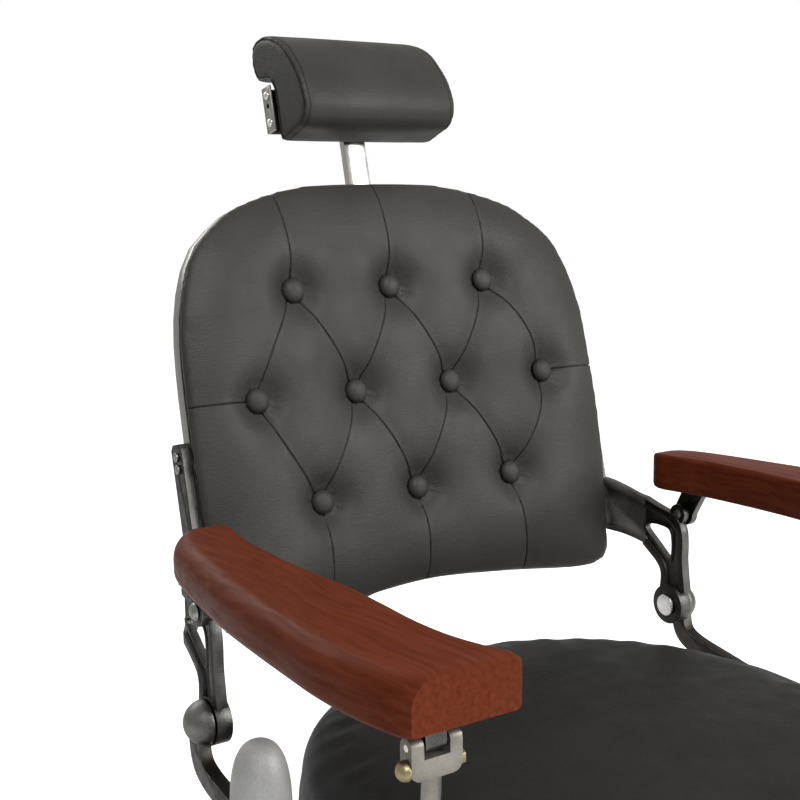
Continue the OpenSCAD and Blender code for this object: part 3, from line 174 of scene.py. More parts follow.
def mixed(tree, share, first, second):
    """A colour between two others. Each is three numbers, or the output of another node."""
    colours = [c if isinstance(c, bpy.types.NodeSocket) else (*c, 1) for c in (first, second)]
    return shade(tree, "MixRGB", {"Fac": share, "Color1": colours[0], "Color2": colours[1]}).outputs["Color"]


def finish(name, dark, light, rough, cloud, grit, depth, stretch=(1, 1, 1), metallic=1.0,
           wear_and_glint=None, side=None, low=None, **constants):
    """A metal, enamel or plastic. Its tone drifts between dark and light over clouds, its roughness too,
    and a grit of the given size and depth roughens it. Its edges can take another tone, for wear and as
    a painted glint where edges catch the light. Its large flat sides that face along x can take a
    painted shade of their own, and so can what is low: a painted shade tone and the heights between
    which it gives way."""
    material, tree, shader, place = blank(name, Metallic=metallic, **constants)
    drift = noise(tree, place, cloud)
    tone = mixed(tree, spread(tree, drift, *usual, 0, 1), dark, light)
    grain = noise(tree, place, grit, 4, stretch)
    tone = mixed(tree, spread(tree, grain, 0.35, 0.75, 0, 0.35), tone, [grain_lift * c for c in light])
    # Painted shade: faces marked as large sideways flat sides take the darker side tone, with its own grit.
    if side:
        tone = mixed(tree, shade(tree, "Attribute", attribute_name="side").outputs["Fac"], tone,
                     mixed(tree, grain, side, [shaded_side_grain_lift * c for c in side]))
    # Painted shade: below the lower height the tone gives way to a darker one.
    if low:
        shade_below_tone, low_z, high_z = low
        height = shade(tree, "SeparateXYZ", {"Vector": place}).outputs["Z"]
        tone = mixed(tree, spread(tree, height, low_z, high_z, 1, 0), tone, shade_below_tone)
    # Edges take another tone in patches: wear, and a painted glint where edges catch the light.
    if wear_and_glint:
        edge = shade(tree, "Attribute", attribute_name="edge").outputs["Fac"]
        edge_patches = spread(tree, noise(tree, place, edge_patch_size, 5), *edge_patch_span, 0.1, 1)
        wear_and_glint_share = shade(tree, "Math", {0: edge, 1: edge_patches}, operation="MULTIPLY").outputs[0]
        tone = mixed(tree, wear_and_glint_share, tone, wear_and_glint)
    tree.links.new(tone, shader.inputs["Base Color"])
    patchy = noise(tree, place, cloud / 3, 4)
    polish = spread(tree, patchy, *usual, rough * 0.8, min(1, rough * 1.25))
    tree.links.new(polish, shader.inputs["Roughness"])
    bump = shade(tree, "Bump", {"Height": grain, "Distance": depth, "Strength": 1.0})
    tree.links.new(bump.outputs["Normal"], shader.inputs["Normal"])
    return material


def pick(piece):
    """Makes a piece the one that the next operator works on."""
    bpy.ops.object.select_all(action="DESELECT")
    piece.select_set(True)
    bpy.context.view_layer.objects.active = piece


sharp = math.radians(35)
# Large flat faces turned along x by more than this get a painted shade, in finishes with a side tone.
shaded_side_area, shaded_side_facing = 6e-5, 0.9


def dressed(node, material, edge):
    """A finished copy of a CAD part: its triangles joined into whole faces, its edges broken by edge
    millimetres, its round faces smooth. Edges are marked for wear and a painted glint, and large flat
    sides that face along x for a painted shade."""
    mesh = nodes[node].data.copy()
    piece = bpy.data.objects.new(node + "_finished", mesh)
    bpy.context.scene.collection.objects.link(piece)
    work = bmesh.new()
    work.from_mesh(mesh)
    bmesh.ops.remove_doubles(work, verts=work.verts, dist=2e-5)
    bmesh.ops.dissolve_limit(work, angle_limit=math.radians(1), verts=work.verts, edges=work.edges)
    work.to_mesh(mesh)
    work.free()
    mesh.materials.clear()
    mesh.materials.append(material)
    mesh.materials.append(material)
    pick(piece)
    if edge:
        bevel = piece.modifiers.new("broken_edges", "BEVEL")
        bevel.width = edge / 1000
        bevel.segments = 2
        bevel.limit_method = "ANGLE"
        bevel.angle_limit = sharp
        bevel.material = 1
        bpy.ops.object.modifier_apply(modifier=bevel.name)
    # Bevel faces are marked as edges, for their wear and painted glint.
    on_edge = np.zeros(len(mesh.polygons), np.int32)
    mesh.polygons.foreach_get("material_index", on_edge)
    mesh.attributes.new("edge", "FLOAT", "FACE").data.foreach_set("value", on_edge.astype(np.float32))
    areas, facing = np.empty(len(mesh.polygons)), np.empty(len(mesh.polygons) * 3)
    mesh.polygons.foreach_get("area", areas)
    mesh.polygons.foreach_get("normal", facing)
    # Painted shade: large flat faces that face along x are marked as sides, for a darker side tone.
    shaded_flat_side = (areas > shaded_side_area) & (np.abs(facing[::3]) > shaded_side_facing)
    mesh.attributes.new("side", "FLOAT", "FACE").data.foreach_set("value", shaded_flat_side.astype(np.float32))
    mesh.polygons.foreach_set("material_index", np.zeros_like(on_edge))
    mesh.materials.pop(index=1)
    bpy.ops.object.shade_smooth_by_angle(angle=sharp)
    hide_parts(node)
    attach(piece, body_of(nodes[node])[0])


black_enamel = finish("black_enamel", (0.030, 0.030, 0.032), (0.055, 0.055, 0.058), 0.38, 0.12, 0.004, 0.00025,
                      metallic=0.0, wear_and_glint=(0.16, 0.155, 0.15), Coat_Weight=0.3, Coat_Roughness=0.2)
sheet_enamel = finish("sheet_enamel", (0.045, 0.045, 0.047), (0.07, 0.07, 0.073), 0.45, 0.2, 0.002, 0.0001,
                      metallic=0.0, wear_and_glint=(0.2, 0.2, 0.2))
chrome = finish("chrome", (0.42, 0.42, 0.43), (0.52, 0.52, 0.53), 0.12, 0.15, 0.003, 0.00001,
                wear_and_glint=(0.8, 0.8, 0.8))
turned_steel = finish("turned_steel", (0.50, 0.49, 0.47), (0.66, 0.65, 0.63), 0.26, 0.03, 0.0012, 0.00006,
                      stretch=(0.25, 4, 4), wear_and_glint=(0.75, 0.74, 0.72))
dressed("base_plate", sheet_enamel, 0)
dressed("base_casting", black_enamel, 1.0)
dressed("base_trim", chrome, 0.6)
dressed("base_bolts", chrome, 0.6)

# Column: the pump's iron body carries the ram, and a bright telescoping cover hides the ram. A foot
# pedal with a ribbed rubber pad works the pump; the seat turns on the ram's spigot over a bronze washer.
bearing_bronze = finish("bearing_bronze", (0.40, 0.27, 0.12), (0.55, 0.39, 0.19), 0.3, 0.02, 0.001, 0.00005)
black_rubber = finish("black_rubber", (0.015, 0.015, 0.015), (0.03, 0.03, 0.03), 0.75, 0.03, 0.0009, 0.0001,
                      metallic=0.0)
dressed("pump_body", black_enamel, 1.0)
dressed("pump_gland", turned_steel, 1.0)
dressed("ram", turned_steel, 0.6)
dressed("column_cover", chrome, 0.6)
dressed("thrust_washer", bearing_bronze, 0)
dressed("pump_pedal", black_enamel, 1.2)
dressed("pedal_rubber", black_rubber, 0.8)
dressed("pedal_pin", turned_steel, 0.5)

# Seat frame: an iron spider bolted to the ram's head, with a sheet pan on it and a side frame bolted
# to each pair of its arms. The side frames are cast in pewter-grey iron and carry the pivots.
# Pewter's edges are lighter, as wear and as a painted glint. Its large sideways flat faces take a near-black
# painted shade.
pewter = finish("pewter", (0.065, 0.062, 0.057), (0.150, 0.146, 0.137), 0.40, 0.03, 0.0016, 0.0003,
                wear_and_glint=(0.40, 0.39, 0.37), side=(0.020, 0.0185, 0.0165))
# Painted shade: the side frames' sideways flat faces are darker, and below 518 to 508 mm they turn dark brown.
pewter_frame = finish("pewter_frame", (0.10, 0.098, 0.092), (0.20, 0.195, 0.185), 0.42, 0.03, 0.0016, 0.0003,
                      wear_and_glint=(0.22, 0.21, 0.195), side=(0.016, 0.0145, 0.0125),
                      low=((0.040, 0.035, 0.029), 0.508, 0.518))
dressed("seat_spider", black_enamel, 1.0)
dressed("seat_pan", sheet_enamel, 0.8)
dressed("side_frame_left", pewter_frame, 1.0)
dressed("side_frame_right", pewter_frame, 1.0)
dressed("frame_bolts", turned_steel, 0.5)

# Seat cushion: a round block of foam under black leather. The cover's top and side are one piece,
# blocked to shape, and it is sewn to a bottom panel along a seam low on the side.
seat_r, seat_top, seat_thick = 0.270, 0.525, 0.095
seat_edge_r, seat_crown = 0.034, 0.012
seat_ease, seat_ease_zone = 0.002, 0.05
seat_seam_z = seat_top - 0.082
seat_seam_w, seat_seam_depth = 0.0016, 0.003
seat_side = 0.93 * seat_r
seat_swell, seat_hold_z, seat_hold_w = 0.0035, seat_seam_z + 0.012, 0.010
pucker_w, pucker_depth, pucker_count, pucker_sway = 0.010, 0.0006, 151, 17


def skin(name, rings, first, last):
    """A closed mesh over rings that all have the same number of points, with a point at each end."""
    count, around = len(rings), len(rings[0])
    shell = bmesh.new()
    verts = [[shell.verts.new(p) for p in ring] for ring in rings]
    ends = shell.verts.new(first), shell.verts.new(last)
    for i in range(around):
        j = (i + 1) % around
        for k in range(count - 1):
            shell.faces.new((verts[k][i], verts[k][j], verts[k + 1][j], verts[k + 1][i]))
        shell.faces.new((ends[0], verts[0][j], verts[0][i]))
        shell.faces.new((ends[1], verts[-1][i], verts[-1][j]))
    bmesh.ops.recalc_face_normals(shell, faces=shell.faces)
    mesh = bpy.data.meshes.new(name)
    shell.to_mesh(mesh)
    shell.free()
    piece = bpy.data.objects.new(name, mesh)
    bpy.context.scene.collection.objects.link(piece)
    return piece


def points_of(piece):
    flat = np.empty(len(piece.data.vertices) * 3)
    piece.data.vertices.foreach_get("co", flat)
    return flat.reshape(-1, 3)


def normals_of(piece):
    flat = np.empty(len(piece.data.vertices) * 3)
    piece.data.vertices.foreach_get("normal", flat)
    return flat.reshape(-1, 3)


def place_points(piece, points):
    piece.data.vertices.foreach_set("co", np.ascontiguousarray(points, float).ravel())
    piece.data.update()


def apply(piece, kind, **settings):
    """Adds one modifier to a piece and applies it."""
    pick(piece)
    modifier = piece.modifiers.new(kind.lower(), kind)
    for key, value in settings.items():
        setattr(modifier, key, value)
    bpy.ops.object.modifier_apply(modifier=modifier.name)


def weave(piece, cell):
    """Turns a cover into an even net of square faces, about cell wide, and smooths it a little."""
    apply(piece, "REMESH", mode="VOXEL", voxel_size=cell)
    apply(piece, "SMOOTH", factor=0.5, iterations=2)


def ramp(distance, width):
    """0 below a distance of 0, and rising from there to 1 at width."""
    return np.clip(distance / width, 0, 1)


foam_pressure, stuffing_steps = 4, 20
hold_w = 0.006


def stuff(piece, held, cap):
    """Fills a cover with foam: it swells under pressure except where it is held, by no more than cap."""
    start = points_of(piece)
    group = piece.vertex_groups.new(name="held")
    for i, weight in enumerate(held):
        if weight > 0.01:
            group.add([i], float(weight), "REPLACE")
    cloth = piece.modifiers.new("stuffing", "CLOTH")
    cloth.settings.quality = 4
    cloth.settings.mass = 0.4
    cloth.settings.tension_stiffness = cloth.settings.compression_stiffness = 25
    cloth.settings.shear_stiffness = 12
    cloth.settings.bending_stiffness = 4
    cloth.settings.use_pressure = True
    cloth.settings.uniform_pressure_force = foam_pressure
    cloth.settings.effector_weights.gravity = 0
    cloth.settings.vertex_group_mass = group.name
    for step in range(1, stuffing_steps + 1):
        bpy.context.scene.frame_set(step)
    swollen = piece.evaluated_get(bpy.context.evaluated_depsgraph_get())
    flat = np.empty(len(start) * 3)
    swollen.data.vertices.foreach_get("co", flat)
    move = flat.reshape(-1, 3) - start
    far = np.linalg.norm(move, axis=1, keepdims=True)
    piece.modifiers.remove(cloth)
    piece.vertex_groups.remove(group)
    bpy.context.scene.frame_set(1)
    place_points(piece, start + move * np.minimum(1, cap / np.maximum(far, 1e-9)))


def refine(piece, wanted, cuts):
    """Divides the faces at the wanted points more finely."""
    mesh = bmesh.new()
    mesh.from_mesh(piece.data)
    mesh.verts.ensure_lookup_table()
    edges = [e for e in mesh.edges if wanted[e.verts[0].index] and wanted[e.verts[1].index]]
    bmesh.ops.subdivide_edges(mesh, edges=edges, cuts=cuts, use_grid_fill=True)
    mesh.to_mesh(piece.data)
    mesh.free()


def swayed(tree, place, scale, reach):
    """The place on a piece, moved about by a noise, so that a pattern on it isn't regular."""
    sway = shade(tree, "TexNoise", {"Vector": place, "Scale": scale, "Detail": 2}).outputs["Color"]
    sway = shade(tree, "VectorMath", {0: sway, "Scale": reach}, operation="SCALE").outputs[0]
    return shade(tree, "VectorMath", {0: place, 1: sway}, operation="ADD").outputs[0]


pebbles_per_metre, pebble_depth = 820.0, 0.00022
wrinkle_size, wrinkle_depth = 0.0035, 0.00035
# Painted shade: a near-black tone for seams, pleats and button rims, where shade falls.
seam_dark = (0.002, 0.002, 0.002)


def hide(name, dark, light, rough):
    """Black leather: a pebbled grain of about a millimetre, wandering a little, fine wrinkles, a tone
    that drifts, and a painted shade along the seams, pleats and button rims marked on the piece."""
    material, tree, shader, place = blank(name, Specular_IOR_Level=0.22)
    drift = noise(tree, place, 0.09, 4)
    tone = mixed(tree, spread(tree, drift, *usual, 0, 1), dark, light)
    # Painted shade: the marked seams, folds and pits are darkened towards near black.
    seam = shade(tree, "Attribute", attribute_name="seam").outputs["Fac"]
    tone = mixed(tree, seam, tone, seam_dark)
    tree.links.new(tone, shader.inputs["Base Color"])
    polish = noise(tree, place, 0.03, 5)
    tree.links.new(spread(tree, polish, *usual, rough * 0.88, rough * 1.14), shader.inputs["Roughness"])
    wander = swayed(tree, place, 500.0, 0.0009)
    pebbles = shade(tree, "TexVoronoi", {"Vector": wander, "Scale": pebbles_per_metre}, feature="SMOOTH_F1")
    wrinkle = noise(tree, place, wrinkle_size, 4, (2.2, 1, 0.7))
    fine = shade(tree, "Bump", {"Height": pebbles.outputs["Distance"], "Distance": pebble_depth,
                                "Strength": 0.8}, invert=True)
    coarse = shade(tree, "Bump", {"Height": wrinkle, "Distance": wrinkle_depth, "Strength": 0.8,
                                  "Normal": fine.outputs["Normal"]})
    tree.links.new(coarse.outputs["Normal"], shader.inputs["Normal"])
    return material


def mark_seams(piece, values):
    """Marks how much painted shade each point of the leather gets, deep in a seam, fold or pit."""
    seam = piece.data.attributes.new("seam", "FLOAT", "POINT")
    seam.data.foreach_set("value", np.clip(values, 0, 1).astype(np.float32))


def show_as(piece, body, node, cover=None):
    """Smooth shading and leather; the piece stands for a CAD part on a body."""
    pick(piece)
    bpy.ops.object.shade_smooth()
    piece.data.materials.clear()
    piece.data.materials.append(cover or leather)
    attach(piece, body)
    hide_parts(node)


leather = hide("black_leather", (0.034, 0.0325, 0.0288), (0.047, 0.0450, 0.0400), 0.47)
# Painted shade: the seat gets a darker copy of the same black leather, for the shade it lies in under the back
# and the armrests.
shaded_seat_hide = hide("seat_leather", (0.013, 0.0124, 0.0112), (0.019, 0.0181, 0.0164), 0.52)

side_turn = [(seat_r + seat_edge_r * (math.cos(a) - 1), seat_top - seat_edge_r + seat_edge_r * math.sin(a))
             for a in np.radians(np.arange(0, 90, 9))]
crown_shares = np.linspace(1, 0.03, 40)
seat_profile = ([(r * seat_r, seat_top - seat_thick) for r in np.linspace(0.03, 0.93, 30)]
                + [(seat_r * r, seat_top - seat_thick + z * seat_thick)
                   for r, z in ((0.955, 0.0), (0.97, 0.05), (0.985, 0.10), (0.993, 0.2), (1, 0.3), (1, 0.46),
                                (1, 0.55))]
                + side_turn
                + [(f * (seat_r - seat_edge_r), seat_top + seat_crown * (1 - f ** 2)) for f in crown_shares])
seat_turns = np.linspace(0, 2 * math.pi, 200, endpoint=False)
seat_rings = [[((r - seat_ease) * math.cos(a), (r - seat_ease) * math.sin(a),
                z - (seat_ease if z > seat_top - seat_ease_zone else 0)) for a in seat_turns]
              for r, z in seat_profile]
seat_leather = skin("seat_leather", seat_rings, (0, 0, seat_top - seat_thick),
                    (0, 0, seat_top + seat_crown - seat_ease))
weave(seat_leather, 0.006)
stuff(seat_leather, ramp(seat_hold_z - points_of(seat_leather)[:, 2], seat_hold_w), seat_swell)
apply(seat_leather, "SUBSURF", levels=1, render_levels=1)
spot = points_of(seat_leather)
seat_out = np.hypot(spot[:, 0], spot[:, 1])
refine(seat_leather, (np.abs(spot[:, 2] - seat_seam_z) < 0.008) & (seat_out > seat_side), cuts=2)
spot = points_of(seat_leather)
seat_out = np.hypot(spot[:, 0], spot[:, 1])
seat_angle = np.arctan2(spot[:, 1], spot[:, 0])
from_seam = np.where(seat_out > seat_side, np.abs(spot[:, 2] - seat_seam_z), 1)
pucker = pucker_depth * np.exp(-(from_seam / pucker_w) ** 2)
pucker *= np.sin(seat_angle * pucker_count + 3 * np.sin(seat_angle * pucker_sway))
seat_seam = np.exp(-(from_seam / seat_seam_w) ** 2)
place_points(seat_leather, spot - normals_of(seat_leather) * (seat_seam_depth * seat_seam + pucker)[:, None])
# Painted shade along the seat's seam.
mark_seams(seat_leather, seat_seam ** 3)
show_as(seat_leather, "seat", "seat_cushion", shaded_seat_hide)

# Recline and front pins: turned steel, each with a head and a bronze washer between the two castings
# that turn on it.
dressed("recline_pins", turned_steel, 0.6)
dressed("recline_washers", bearing_bronze, 0)
dressed("front_pins", turned_steel, 0)

# Recline lever: a satin alloy lever with a brake shoe that grips the leg frame's sector, and a
# bullet-shaped grip beside the sitter's right thigh.
satin_alloy = finish("satin_alloy", (0.36, 0.357, 0.342), (0.44, 0.437, 0.42), 0.58, 0.05, 0.0012, 0.00003,
                     stretch=(1, 1, 3), metallic=0.35, wear_and_glint=(0.42, 0.42, 0.41))
dressed("recline_lever", satin_alloy, 0.7)
dressed("lever_pin", turned_steel, 0.5)

# Side castings: brackets of flanged bars in pewter-grey iron, gritty from the mould, their bars' edges
# lighter, as wear and as a painted glint, their webs darkened by a painted shade. Each hangs the back on
# a recline pin and is screwed to the shell's rim by its strip.
dressed("bracket_left", pewter, 0.9)
dressed("bracket_right", pewter, 0.9)
aged_steel = finish("aged_steel", (0.16, 0.15, 0.135), (0.34, 0.325, 0.30), 0.35, 0.004, 0.0012, 0.0001,
                    wear_and_glint=(0.5, 0.48, 0.45))
dressed("bracket_screws", aged_steel, 0.5)

# Back shell and board: a dished metal shell behind the back, enamelled pewter grey, its rim's edges
# lighter as wear and as a painted highlight, and the plywood board to which the cushion is stapled.
shell_enamel = finish("shell_enamel", (0.235, 0.229, 0.212), (0.30, 0.293, 0.272), 0.36, 0.12, 0.003, 0.0002,
                      metallic=0.85, wear_and_glint=(0.42, 0.405, 0.375))


grain_stretch, band_w, pore_w, pore_depth = 22, 0.0045, 0.0007, 0.00008


def timber(name, dark, light, pore, rough, along=1):
    """Wood with its grain along one axis: bands of two tones, and fine pores of a third."""
    material, tree, shader, place = blank(name, Specular_IOR_Level=0.06, Specular_Tint=(1.0, 0.72, 0.52, 1))
    long = [1, 1, 1]
    long[along] = grain_stretch
    drawn = swayed(tree, place, 7.0, 0.03)
    bands = noise(tree, drawn, band_w, 3, long)
    tone = mixed(tree, spread(tree, bands, 0.32, 0.68, 0, 1), dark, light)
    broad = noise(tree, place, 0.10, 3)
    tone = mixed(tree, spread(tree, broad, *usual, 0, 0.35), tone, dark)
    pores = noise(tree, drawn, pore_w, 3, long)
    pitted = spread(tree, pores, 0.60, 0.70, 0, 1)
    tone = mixed(tree, shade(tree, "Math", {0: pitted, 1: 0.5}, operation="MULTIPLY").outputs[0], tone, pore)
    tree.links.new(tone, shader.inputs["Base Color"])
    tree.links.new(spread(tree, bands, *usual, rough * 1.15, rough * 0.85), shader.inputs["Roughness"])
    bump = shade(tree, "Bump", {"Height": pitted, "Distance": pore_depth, "Strength": 0.6}, invert=True)
    tree.links.new(bump.outputs["Normal"], shader.inputs["Normal"])
    return material


plywood = timber("plywood", (0.36, 0.25, 0.14), (0.52, 0.39, 0.25), (0.25, 0.16, 0.09), 0.6, along=2)
dressed("back_shell", shell_enamel, 0.8)
dressed("back_board", plywood, 0.3)

# Back cushion: foam and black leather over the board, wrapped a little round the sitter. Ten buttons
# are pulled down into it, and a pleat is folded into the leather along each line between them.
back_lean = math.radians(13.4)
back_origin = Vector((0, 0.300, 0.800))
back_half_w, back_half_h = 0.251, 0.222
back_wrap = 0.023
back_shares = [(0, -0.932), (0.454, -0.973), (0.801, -1.021), (0.927, -0.986), (0.955, -0.851),
               (0.987, -0.495), (1, -0.131), (0.980, 0.347), (0.900, 0.646), (0.781, 0.793),
               (0.641, 0.892), (0.359, 0.980), (0, 1)]
cushion_depth, front_depth = 0.025, 0.019
front_share, side_bulge = 0.985, 0.012
cushion_crown, cushion_swell, pit_depth = 0.014, 0.003, 0.0065
edge_power, edge_share = 7, 0.34
pit_flat, pit_r, pit_power = 0.0095, 0.0190, 1.7
pull_gain, pull_free = 2.4, 0.2
pleat_r, pleat_power = 0.009, 1.6
pleat_share, pleat_near_share, pleat_near_r = 0.12, 0.22, 0.036
button_pitch, row_pitch = 0.120, 0.108
pleat_bow, bow_way = 0.0085, (0.87, 0.0)
crease_w, crease_depth = 0.0006, 0.0020
gather_w, gather_r, gather_depth, gather_count, gather_sway = 0.008, 0.014, 0.0005, 19, 5
button_shade_r, button_shade_w = 0.0118, 0.0012
seam_tone = 0.7


def smooth_loop(points, steps):
    """A smooth closed curve through the points, with steps points from each to the next."""
    points = np.array(points, float)
    a, b, c, d = (np.roll(points, -k, axis=0) for k in (-1, 0, 1, 2))
    rows = []
    for t in np.arange(steps) / steps:
        rows.append(0.5 * (2 * b + (c - a) * t + (2 * a - 5 * b + 4 * c - d) * t ** 2
                           + (3 * b - a - 3 * c + d) * t ** 3))
    return np.stack(rows, axis=1).reshape(-1, points.shape[1])


def in_back(points):
    """Points (x, w to the rear, s up the back) as points of the chair."""
    points = np.asarray(points, float)
    x, w, s = points[:, 0], points[:, 1], points[:, 2]
    return np.stack([x, back_origin.y + w * math.cos(back_lean) + s * math.sin(back_lean),
                     back_origin.z - w * math.sin(back_lean) + s * math.cos(back_lean)], axis=1)


def on_back(points):
    """Points of the chair as (x, w, s)."""
    points = np.asarray(points, float)
    y, z = points[:, 1] - back_origin.y, points[:, 2] - back_origin.z
    return np.stack([points[:, 0], y * math.cos(back_lean) - z * math.sin(back_lean),
                     y * math.sin(back_lean) + z * math.cos(back_lean)], axis=1)


def wrap(x):
    """How far to the rear the bowed back lies at x. Its sides come forward round the sitter."""
    return -back_wrap * (x / back_half_w) ** 2


def pleat(a, b):
    """The line of a pleat from a button to b: it bows outward beside the outer buttons."""
    a, b = np.array(a), np.array(b)
    t = np.linspace(0, 1, 9)[:, None]
    outer = abs(a[0] + b[0]) > 2.4 * button_pitch and abs(a[0] - b[0]) > 1e-6
    bow = np.sign(a[0]) * pleat_bow * np.sin(t * math.pi) if outer else 0 * t
    return a + (b - a) * t + bow * np.array(bow_way)


buttons = np.array([((k - (n - 1) / 2) * button_pitch, row * row_pitch)
                    for row, n in ((-1, 3), (0, 4), (1, 3)) for k in range(n)])
pleats = [pleat(a, b) for a in buttons for b in buttons
          if b[1] > a[1] and abs(b[0] - a[0]) < button_pitch and b[1] - a[1] < 1.5 * row_pitch]
pleats += [pleat(a, (a[0] * 1.05, np.sign(a[1]) * back_half_h * 1.12)) for a in buttons
           if abs(a[1]) > 0.5 * row_pitch]
pleats += [pleat(a, (np.sign(a[0]) * back_half_w * 1.05, 0)) for a in buttons
           if a[1] == 0 and abs(a[0]) > button_pitch]


def from_path(points, path):
    """Distance from each point to a line of several points."""
    best = np.full(len(points), np.inf)
    for p, q in zip(path[:-1], path[1:]):
        along = q - p
        t = np.clip(((points - p) @ along) / (along @ along), 0, 1)
        best = np.minimum(best, np.linalg.norm(points - p - t[:, None] * along, axis=1))
    return best


def tuft(points):
    """How far the leather is pulled down at each point, from 0 on a crown to 1 under a button."""
    away = np.min([np.linalg.norm(points - b, axis=1) for b in buttons], axis=0)
    pits = 1 / (1 + (np.maximum(away - pit_flat, 0) / pit_r) ** 2) ** pit_power
    valley = np.max([np.exp(-(from_path(points, line) / pleat_r) ** pleat_power) for line in pleats], axis=0)
    deepness = pleat_share + pleat_near_share * np.exp(-(away / pleat_near_r) ** 2)
    return 1 - (1 - pits) * (1 - valley * deepness)


half_outline = [(x * back_half_w, s * back_half_h) for x, s in back_shares]
outline = smooth_loop(half_outline + [(-x, s) for x, s in half_outline[-2:0:-1]], 10)
rings = []
for share in np.concatenate([np.linspace(0.02, 0.86, 36), np.linspace(0.88, 1, 12)]):
    ring = outline * share * front_share
    edge = share ** edge_power
    face = -cushion_crown + (cushion_crown + pit_depth) * tuft(ring)
    w = face * (1 - edge) + edge_share * cushion_depth * edge
    rings.append(in_back(np.stack([ring[:, 0], w + wrap(ring[:, 0]), ring[:, 1]], axis=1)))
for share, depth in ((1.0, 0.48), (1.006, 0.66), (1.0, 0.86), (0.975, 1), (0.7, 1), (0.35, 1)):
    ring = outline * share * (1 + side_bulge * (depth < 1), 1)
    rings.append(in_back(np.stack([ring[:, 0], wrap(ring[:, 0]) + depth * cushion_depth, ring[:, 1]], axis=1)))
back_leather = skin("back_leather", rings, in_back([[0, -cushion_crown, 0]])[0],
                    in_back([[0, cushion_depth, 0]])[0])
weave(back_leather, 0.005)
spot = on_back(points_of(back_leather))
pull = tuft(spot[:, [0, 2]])
behind = ramp(spot[:, 1] - wrap(spot[:, 0]) - hold_w, hold_w)
stuff(back_leather, np.maximum(behind, np.clip(pull * pull_gain - pull_free, 0, 1)), cushion_swell)
apply(back_leather, "SUBSURF", levels=1, render_levels=1)


def on_front(spot):
    """Whether each point (x, w, s) lies on the back's front."""
    return spot[:, 1] - wrap(spot[:, 0]) < front_depth


def to_pleat(spot):
    """Distance in the back's plane from each point (x, w, s) on the front to the nearest pleat."""
    near = np.min([from_path(spot[:, [0, 2]], line) for line in pleats], axis=0)
    return np.where(on_front(spot), near, 1.0)


refine(back_leather, to_pleat(on_back(points_of(back_leather))) < 0.005, cuts=3)
spot = on_back(points_of(back_leather))
crease = np.exp(-(to_pleat(spot) / crease_w) ** 2)
from_each = np.array([np.linalg.norm(spot[:, [0, 2]] - b, axis=1) for b in buttons])
to_button, nearest = from_each.min(axis=0), buttons[from_each.argmin(axis=0)]
turn = np.arctan2(spot[:, 2] - nearest[:, 1], spot[:, 0] - nearest[:, 0])
gather = gather_depth * np.exp(-((to_button - gather_r) / gather_w) ** 2) * on_front(spot)
gather *= np.sin(turn * gather_count + 2 * np.sin(turn * gather_sway))
pressed = (crease_depth * crease + gather)[:, None]
place_points(back_leather, points_of(back_leather) - normals_of(back_leather) * pressed)
# Painted shade: a dark line along each pleat's fold, and a ring round and under each button.
shade_round_button = np.exp(-((to_button - button_shade_r) / button_shade_w) ** 2) + (to_button < button_shade_r)
mark_seams(back_leather, seam_tone * np.maximum(crease, shade_round_button))
show_as(back_leather, "back", "back_cushion")

# Buttons: domed moulds covered in the same leather. Each is tied down through the foam to the
# board behind, so that it sits in its pit with a dark line round it, partly shade in the pit and partly
# painted shade on the leather and on the button's foot.
button_d, button_t, button_lift = 0.0248, 0.0095, 0.0015
button_profile = [(0.30, 1.0), (0.55, 0.93), (0.75, 0.80), (0.90, 0.60), (0.98, 0.40), (1.0, 0.22),
                  (0.96, 0.08), (0.80, 0.0)]
button_turns = np.linspace(0, 2 * math.pi, 40, endpoint=False)
for k, (x, s) in enumerate(buttons):
    sunk = wrap(x) + pit_depth - button_lift
    rings = [in_back(np.stack([x + r * button_d / 2 * np.cos(button_turns),
                               np.full(len(button_turns), sunk - h * button_t),
                               s + r * button_d / 2 * np.sin(button_turns)], axis=1)) for r, h in button_profile]
    button = skin("button_%d" % (k + 1), rings, in_back([[x, sunk - 1.02 * button_t, s]])[0],
                  in_back([[x, sunk, s]])[0])
    apply(button, "SUBSURF", levels=1, render_levels=1)
    # Painted shade on the lowest part of each button, down in its pit.
    mark_seams(button, (on_back(points_of(button))[:, 1] - sunk) / (0.25 * button_t) + 1.1)
    show_as(button, "back", "back_buttons")

# Headrest: a brushed steel post slides in a guide behind the cushion and is held by a lobed knob. On
# its hinge sits a steel plate with a flange screwed to each end of the pillow.
# The post's sideways flat faces take a darker beige tone: a painted shade.
satin_steel = finish("satin_steel", (0.46, 0.445, 0.42), (0.54, 0.525, 0.50), 0.17, 0.04, 0.0006, 0.00001,
                     stretch=(1, 1, 14), wear_and_glint=(0.42, 0.40, 0.37), side=(0.30, 0.28, 0.25))
plate_steel = finish("plate_steel", (0.25, 0.24, 0.225), (0.31, 0.30, 0.28), 0.32, 0.03, 0.0012, 0.00004,
                     wear_and_glint=(0.5, 0.48, 0.45))
knob_plastic = finish("knob_plastic", (0.018, 0.018, 0.019), (0.026, 0.026, 0.028), 0.35, 0.02, 0.0008, 0.00003,
                      metallic=0.0)
dressed("post_guide", satin_steel, 0.5)
dressed("headrest_post", satin_steel, 0.8)
dressed("headrest_knob", knob_plastic, 1.0)
dressed("headrest_plate", plate_steel, 0.5)
dressed("headrest_pin", turned_steel, 0.4)
dressed("headrest_screws", turned_steel, 0.4)

